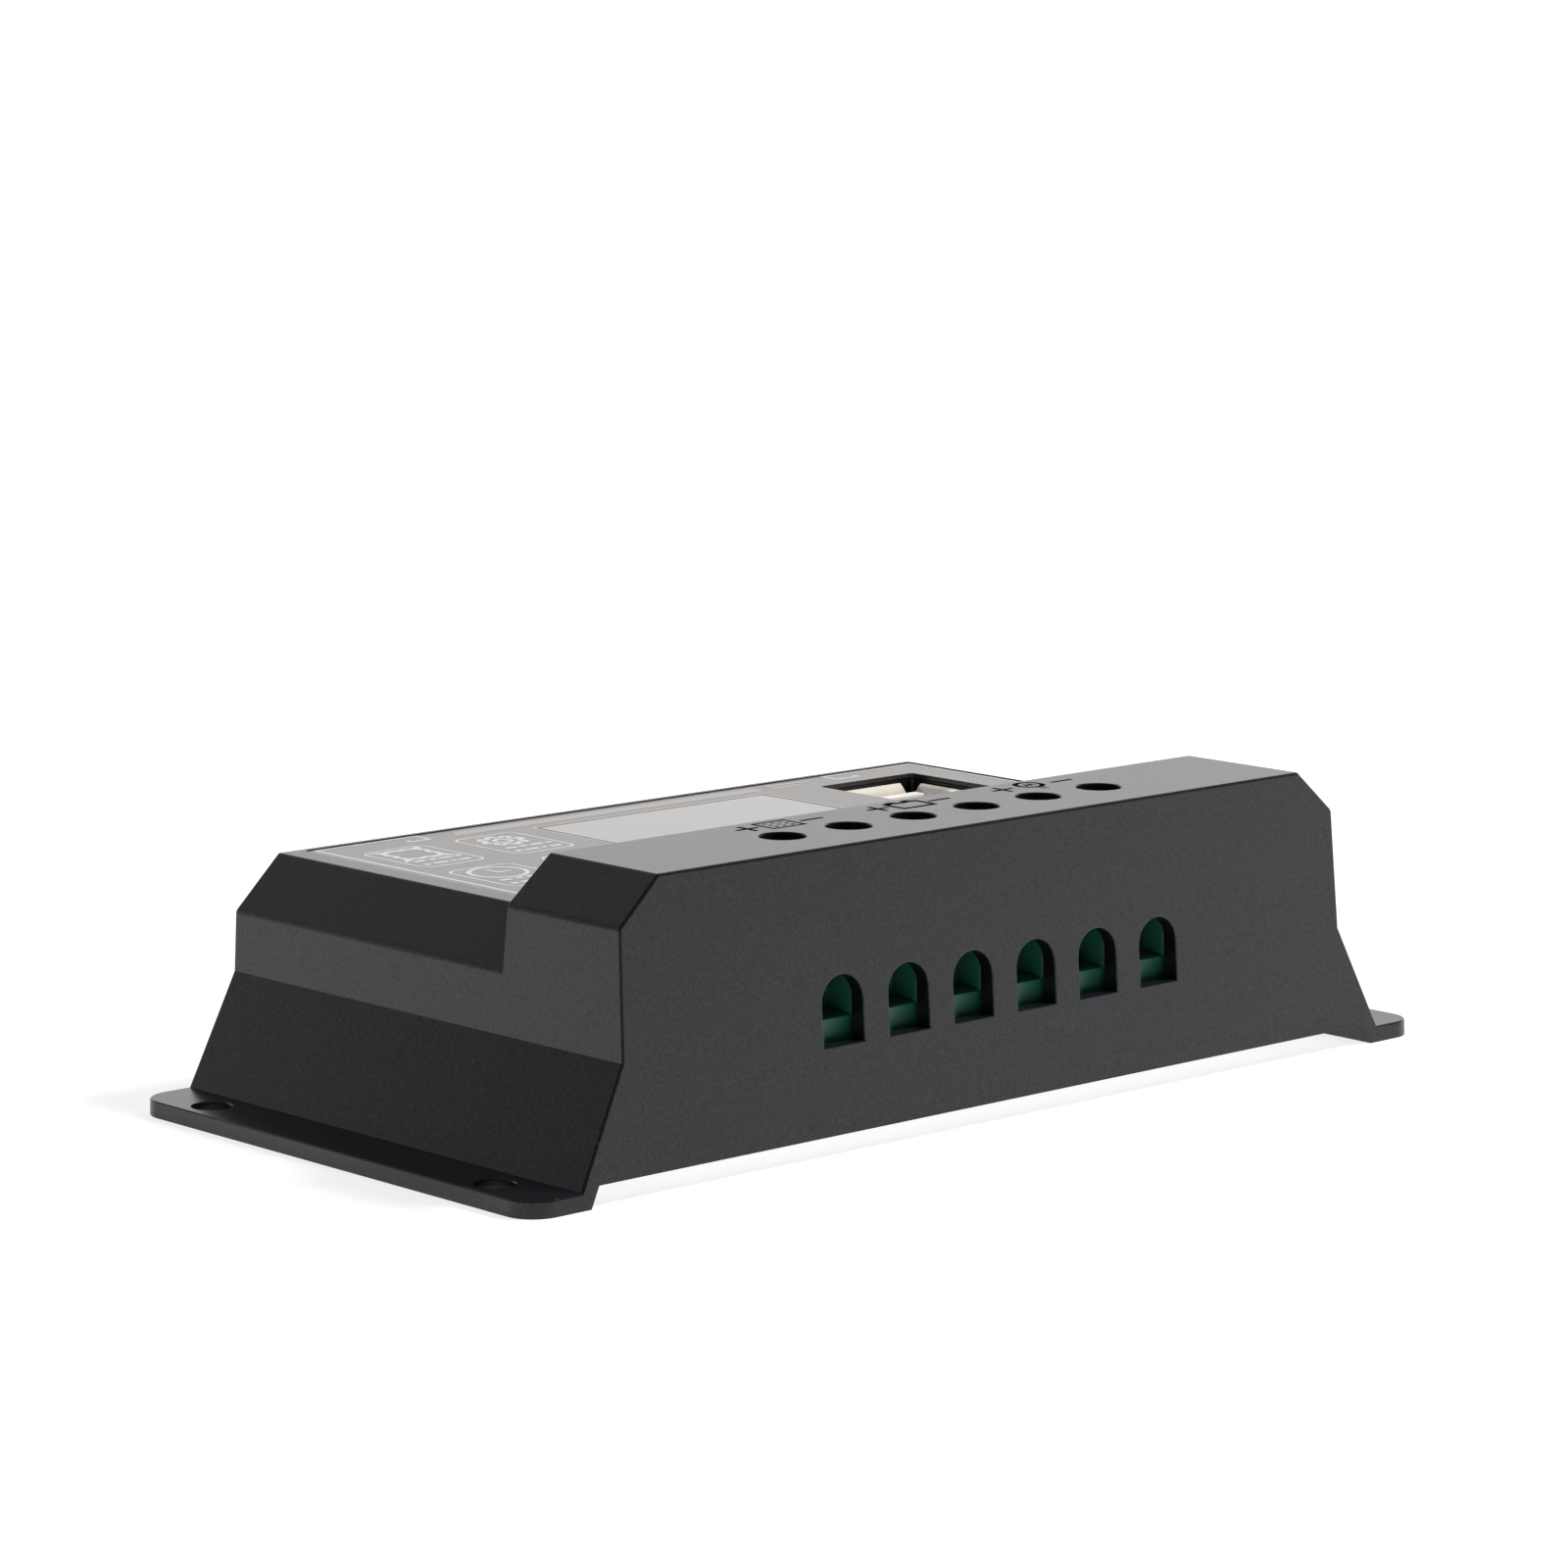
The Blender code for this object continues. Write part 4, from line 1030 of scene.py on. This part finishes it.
def make_sockets(steel, insulator, gold):
    """Two charging sockets in one folded shell, facing up, with its rim curled out."""
    low, high = cad_box("usb_shell")
    x, y = (low.x + high.x) / 2, (low.y + high.y) / 2
    tube = rounded_rectangle((-SHELL_HALF_X, SHELL_HALF_X), (-SHELL_HALF_Y, SHELL_HALF_Y), 0.6)
    shell = extruded(tube, low.z, SHELL_TOP - 0.1, "Z")
    rings = []
    for z, grow in ((SHELL_TOP - 1.9, 0.0), (SHELL_TOP - 0.5, 0.9), (SHELL_TOP - 0.15, 1.0),
                    (SHELL_TOP, 0.95), (SHELL_TOP, 0.3)):
        half_x = SHELL_HALF_X + (SHELL_RIM[0] - SHELL_HALF_X) * grow
        half_y = SHELL_HALF_Y + (SHELL_RIM[1] - SHELL_HALF_Y) * grow
        rings.append([(*point, z) for point in rounded_rectangle((-half_x, half_x), (-half_y, half_y), 0.7)])
    rim = lofted(rings)
    inside = SHELL_HALF_X - 0.45
    ports = []
    for c in (-PORT_Y, PORT_Y):
        mouth = []
        for z, grow in ((PORT_FLOOR, 0.0), (SHELL_TOP - 1.5, 0.0), (SHELL_TOP - 0.35, 1.0),
                        (SHELL_TOP, 1.4), (SHELL_TOP + 1.0, 2.4)):
            mouth_x = (-inside - grow, inside + grow)
            mouth_y = (c - PORT_HALF_Y - grow, c + PORT_HALF_Y + grow)
            mouth.append([(*point, z) for point in rounded_rectangle(mouth_x, mouth_y, 0.4, 3)])
        ports.append(lofted(mouth))
    ports.append(box((-inside, inside), (-1.2, 1.2), (PORT_FLOOR, SHELL_TOP + 1.0)))
    seat_y = (-PORT_Y - PORT_HALF_Y, PORT_Y + PORT_HALF_Y)
    seat = box((-inside, inside), seat_y, (PORT_FLOOR - 0.6, PORT_FLOOR + 1.8))
    springs = []
    foot, tip, half, slit = SHELL_TOP - 7.5, SHELL_TOP - 2.0, 1.12, 0.24
    for side in (-1, 1):
        face = side * SHELL_HALF_Y
        for c in (-3.0, 3.0):
            spring = [(c - half, tip), (c - half, foot), (c + half, foot), (c + half, tip),
                      (c + half - slit, tip), (c + half - slit, foot + slit),
                      (c - half + slit, foot + slit), (c - half + slit, tip)]
            springs.append(extruded(spring, face - 0.12, face + 0.12, "Y"))
    corners = [box(sorted((5.9 * i, 9.0 * i)), sorted((6.7 * j, 9.8 * j)), (SHELL_TOP - 1.6, SHELL_TOP + 1.0))
               for i in (-1, 1) for j in (-1, 1)]
    cutters = [*ports, together(*corners), seat, together(*springs)]
    mesh = combined(shell, ("UNION", rim), *[("DIFFERENCE", cutter) for cutter in cutters])
    mesh = shifted(bevelled(mesh, 0.05, 2, 50), x, y)
    place("charging_shell", mesh, steel, stands_for=("usb_shell",))
    inside -= 0.15
    floor = PORT_FLOOR
    base = box((-inside, inside), (-PORT_Y - 2.55, PORT_Y + 2.55), (floor - 0.4, floor + 1.7))
    bridge = box((-inside, inside), (-1.05, 1.05), (floor, BRIDGE_TOP))
    tongues = [box((-5.6, 5.6), (c - 0.9, c + 0.9), (floor, TONGUE_TOP)) for c in (-PORT_Y, PORT_Y)]
    grooves, contacts = [], []
    for c in (-PORT_Y, PORT_Y):
        for at in (-3.5, -1.0, 1.0, 3.5):
            grooves.append(box((at - 0.6, at + 0.6), (c - 1.0, c - 0.55), (floor + 2.0, 27.0)))
            spring = [(c - 0.6, floor + 1.8), (c - 0.85, floor + 1.8), (c - 0.85, 20.0), (c - 1.15, 23.0),
                      (c - 1.15, 25.2), (c - 0.7, 26.6), (c - 0.6, 26.6)]
            contacts.append(extruded([(a + y, z) for a, z in spring], x + at - 0.45, x + at + 0.45, "X"))
    mesh = combined(base, ("UNION", together(bridge, *tongues)), ("DIFFERENCE", together(*grooves)))
    mesh = shifted(bevelled(mesh, 0.12), x, y)
    place("charging_insulator", mesh, insulator, stands_for=("usb_insulator",))
    place("charging_contacts", bevelled(finish(together(*contacts)), 0.04), gold)


def make_keys(cap_look):
    """Key caps with a dished top, over the flange that keeps them in."""
    for name, (low, high) in zip(KEY_NAMES, KEY_BOXES):
        x = (low.x + high.x) / 2
        edge = (high.x - low.x) / 2
        under = DECK_CEILING - 0.1
        profile = [(0.0, low.z), (edge - 0.1, low.z), (edge, low.z + 0.1), (edge, DECK_CEILING - 0.2),
                   (edge - 0.1, under), (KEY_R + 0.02, under), (KEY_R, DECK_CEILING)]
        for i in range(6):
            turn = math.pi / 2 * i / 5
            profile.append((KEY_R - 0.5 * (1 - math.cos(turn)), high.z - 0.5 + 0.5 * math.sin(turn)))
        for i in range(1, 8):
            radius = (KEY_R - 0.5) * (1 - i / 7)
            profile.append((radius, high.z - 0.18 * (1 - (radius / (KEY_R - 0.5)) ** 2)))
        mesh = finish(moved(turned(profile, 64), x, KEY_Y))
        place("key_button_" + name, mesh, cap_look, name + "_key", ("key_cap_" + name,))


# ---------------------------------------------------------------- terminals


def make_terminal_blocks(green):
    """Green blocks of two poles, with entry pockets, ribs between the poles and joint lines."""
    for name in ("solar", "battery", "load"):
        low, high = cad_box("terminal_block_" + name)
        middle = (low.x + high.x) / 2
        poles = (middle - PITCH / 2, middle + PITCH / 2)
        outline = [(BLOCK_FRONT, low.z), (BLOCK_FRONT, BLOCK_SHOULDER), (BLOCK_CREST, high.z),
                   (high.y, high.z), (high.y, low.z)]
        body = reopened(bevelled(finish(extruded(outline, low.x, high.x, "X")), 0.35, 3))
        chamber = [(-28.7, 14.2), (-22.9, 14.2), (-22.9, 10.7), (-20.0, 10.7), (-20.0, 23.0), (-23.0, 23.0),
                   (-23.0, 29.1), (-28.7, 29.1)]
        chambers = together(*[extruded(chamber, x - 3.4, x + 3.4, "X") for x in poles])
        pockets = []
        for x in poles:
            flare = 0.3
            rings = []
            for depth, grow in ((-2.0, flare), (0.0, flare), (0.45, 0.0), (POCKET_BACK - BLOCK_FRONT, 0.0)):
                at = BLOCK_FRONT + depth
                half = POCKET_HALF + grow
                rings.append([(x - half, at, SILL - grow), (x + half, at, SILL - grow),
                              (x + half, at, LINTEL + grow), (x - half, at, LINTEL + grow)])
            pockets.append(lofted(rings))
        entries = together(*[
            box((x - 3.3, x + 3.3), (POCKET_BACK - 0.5, -28.2), (SILL + 0.1, 21.3)) for x in poles
        ])
        wells = together(*[hole_cutter(2.95, high.z, high.z - 30.1, 0.25, x, AXIS_Y, 40) for x in poles])
        necks = together(*[extruded(circle(2.2, (x, AXIS_Y), 32), 28.1, 31.1, "Z") for x in poles])
        seam = (middle - 0.15, middle + 0.15)
        joint = together(
            box(seam, (BLOCK_FRONT - 1, BLOCK_FRONT + 0.25), (low.z - 1, high.z + 1)),
            box(seam, (BLOCK_CREST - 3, high.y + 1), (high.z - 0.25, high.z + 1)),
        )
        cutters = (chambers, together(*pockets), entries, wells, necks, joint)
        mesh = combined(body, *[("DIFFERENCE", cutter) for cutter in cutters])
        place("terminal_" + name, mesh, green, "base", ("terminal_block_" + name,))


def make_terminal_screws(steel, zinc):
    """Each terminal's screw, with its threads and crossed slots, and the clamp cage that it raises."""
    for i, (low, high) in enumerate(SCREWS):
        x = POLE_X[i]
        seat = SCREW_SEAT
        shank, head = SHANK_R, (high.x - low.x) / 2
        profile = [(0.0, low.z), (shank - 0.5, low.z), (shank - 0.1, low.z + 0.45)]
        turns = int((seat - 1.0 - low.z) / THREAD_PITCH)
        for step in range(turns):
            z = low.z + 0.6 + THREAD_PITCH * step
            profile += [(shank, z), (shank - 0.32, z + 0.35)]
        profile += [(shank - 0.2, seat - 0.4), (shank - 0.2, seat), (head - 0.1, seat), (head, seat + 0.12)]
        profile += [(head, high.z - 0.5)]
        for step in range(5):
            turn = math.pi / 2 * step / 4
            profile.append((head - 0.45 * (1 - math.cos(turn)), high.z - 0.45 + 0.45 * math.sin(turn)))
        profile.append((0.0, high.z))
        slots = extruded(cross(head + 1, 1.5, 0.4), high.z - 1.1, high.z + 1.0, "Z")
        mesh = shifted(combined(turned(profile, 40), ("DIFFERENCE", slots)), x, AXIS_Y)
        node = f"terminal_screw_{i + 1}"
        place(f"clamp_screw_{i + 1}", mesh, steel, f"screw_{i + 1}", (node,), 30)
        cage_low, cage_high = cad_box(f"clamp_cage_{i + 1}")
        half = (cage_high.x - cage_low.x) / 2
        deep = (cage_high.y - cage_low.y) / 2
        cage = extruded(rounded_rectangle((-half, half), (cage_low.z, cage_high.z), 0.7), -deep, deep, "Y")
        way_x, way_z = (1.0 - half, half - 1.0), (cage_low.z + 1.0, cage_high.z - 1.8)
        way = extruded(rounded_rectangle(way_x, way_z, 0.4), -4, 4, "Y")
        tapped = extruded(circle(2.12, (0, 0), 32), cage_high.z - 3.0, cage_high.z + 1.0, "Z")
        rise = (cage_low.z + 0.8, cage_low.z + 1.25)
        ridges = [box((-2.2, 2.2), (at - 0.15, at + 0.15), rise) for at in (-1.4, 0.0, 1.4)]
        mesh = combined(cage, ("DIFFERENCE", way), ("DIFFERENCE", tapped), ("UNION", together(*ridges)))
        mesh = shifted(bevelled(mesh, 0.08), x, AXIS_Y)
        place(f"clamp_{i + 1}_cage", mesh, zinc, f"clamp_{i + 1}", (f"clamp_cage_{i + 1}",))


# ---------------------------------------------------------------- carried-over nodes


def dressed(node, look, width=0.15, segments=2):
    """Gives a CAD node its material, and softens its edges."""
    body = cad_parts[node]
    body.data.materials.clear()
    body.data.materials.append(look)
    step = body.modifiers.new("round", "BEVEL")
    step.width = width * MM
    step.segments = segments
    step.limit_method = "ANGLE"
    step.angle_limit = math.radians(35)
    step.harden_normals = True


# ---------------------------------------------------------------- scene


def main():
    make_camera()
    make_floor()
    make_light()
    black = moulded("black_abs", (0.0056, 0.0057, 0.0076), 0.31, grain=0.4, depth=0.006, dust=0.6, glint=0.22)
    steel = metal("zinc_plated_steel", (0.62, 0.61, 0.58), 0.28)
    zinc = metal("clamp_zinc", (0.6, 0.57, 0.5), 0.35)
    tin = metal("tinned_copper", (0.74, 0.72, 0.68), 0.3)
    nickel = metal("nickel_plate", (0.86, 0.8, 0.69), 0.36, metallic=0.35)
    gold = metal("gold_contact", (0.85, 0.6, 0.25), 0.22)
    aluminium = metal("rolled_aluminium", (0.72, 0.72, 0.74), 0.38, brushed=(1, 12, 12))
    green = moulded("terminal_green", (0.02, 0.15, 0.08), 0.4, grain=0.2, depth=0.004, spread=0.12)
    white_plastic = moulded("white_plastic", (0.72, 0.71, 0.68), 0.35, grain=0.2, depth=0.003, spread=0.04)
    grey_plastic = moulded("holder_plastic", (0.6, 0.6, 0.57), 0.45, grain=0.2, depth=0.003, spread=0.06)
    part_black = moulded("part_black", (0.02, 0.02, 0.02), 0.5, grain=0.15, depth=0.004)
    key_black = moulded("key_black", (0.016, 0.016, 0.017), 0.35, grain=0.15, depth=0.004)
    silicone = moulded("thermal_silicone", (0.4, 0.43, 0.46), 0.7, grain=0.2, depth=0.01)
    sleeve = moulded("capacitor_sleeve", (0.01, 0.014, 0.03), 0.25, grain=0.5, depth=0.004)
    ferrite = moulded("ferrite", (0.05, 0.05, 0.05), 0.65, grain=0.25, depth=0.015)
    mask = moulded("solder_mask", (0.01, 0.11, 0.045), 0.28, grain=0.8, depth=0.006, spread=0.2)
    film = moulded("label_film", (0.03, 0.025, 0.023), 0.27, grain=0.12, depth=0.0, spread=0.1)
    white = printed("white_ink", (0.42, 0.42, 0.415), 0.3)
    red = printed("red_ink", (0.05, 0.022, 0.02))
    clear = Look("window_clear", (0.1, 0.1, 0.102), 0.16).set(Transmission_Weight=0.2, IOR=1.45).made
    glass = Look("lcd_glass", (0.5, 0.53, 0.5), 0.18).made
    make_housing(black)
    make_label(film, white, red)
    make_display(clear, glass)
    make_sockets(nickel, white_plastic, gold)
    make_keys(key_black)
    make_terminal_blocks(green)
    make_terminal_screws(steel, zinc)
    for node in numbered("contact_bar", POLES):
        dressed(node, tin, 0.1)
    for node in numbered("plate_screw", 4) + numbered("board_screw", 4):
        dressed(node, steel, 0.08)
    for node in numbered("mosfet", 4) + ["control_chip", "buzzer", "lcd_header"]:
        dressed(node, part_black)
    for name in KEY_NAMES:
        dressed("switch_" + name, part_black)
        dressed("key_stem_" + name, part_black)
    for node in numbered("capacitor", 2):
        dressed(node, sleeve)
    dressed("bottom_plate", aluminium, 0.25)
    dressed("main_board", mask, 0.08)
    dressed("lcd_backlight", white_plastic)
    dressed("lcd_holder", grey_plastic)
    dressed("thermal_pad", silicone, 0.05)
    dressed("inductor", ferrite)


main()
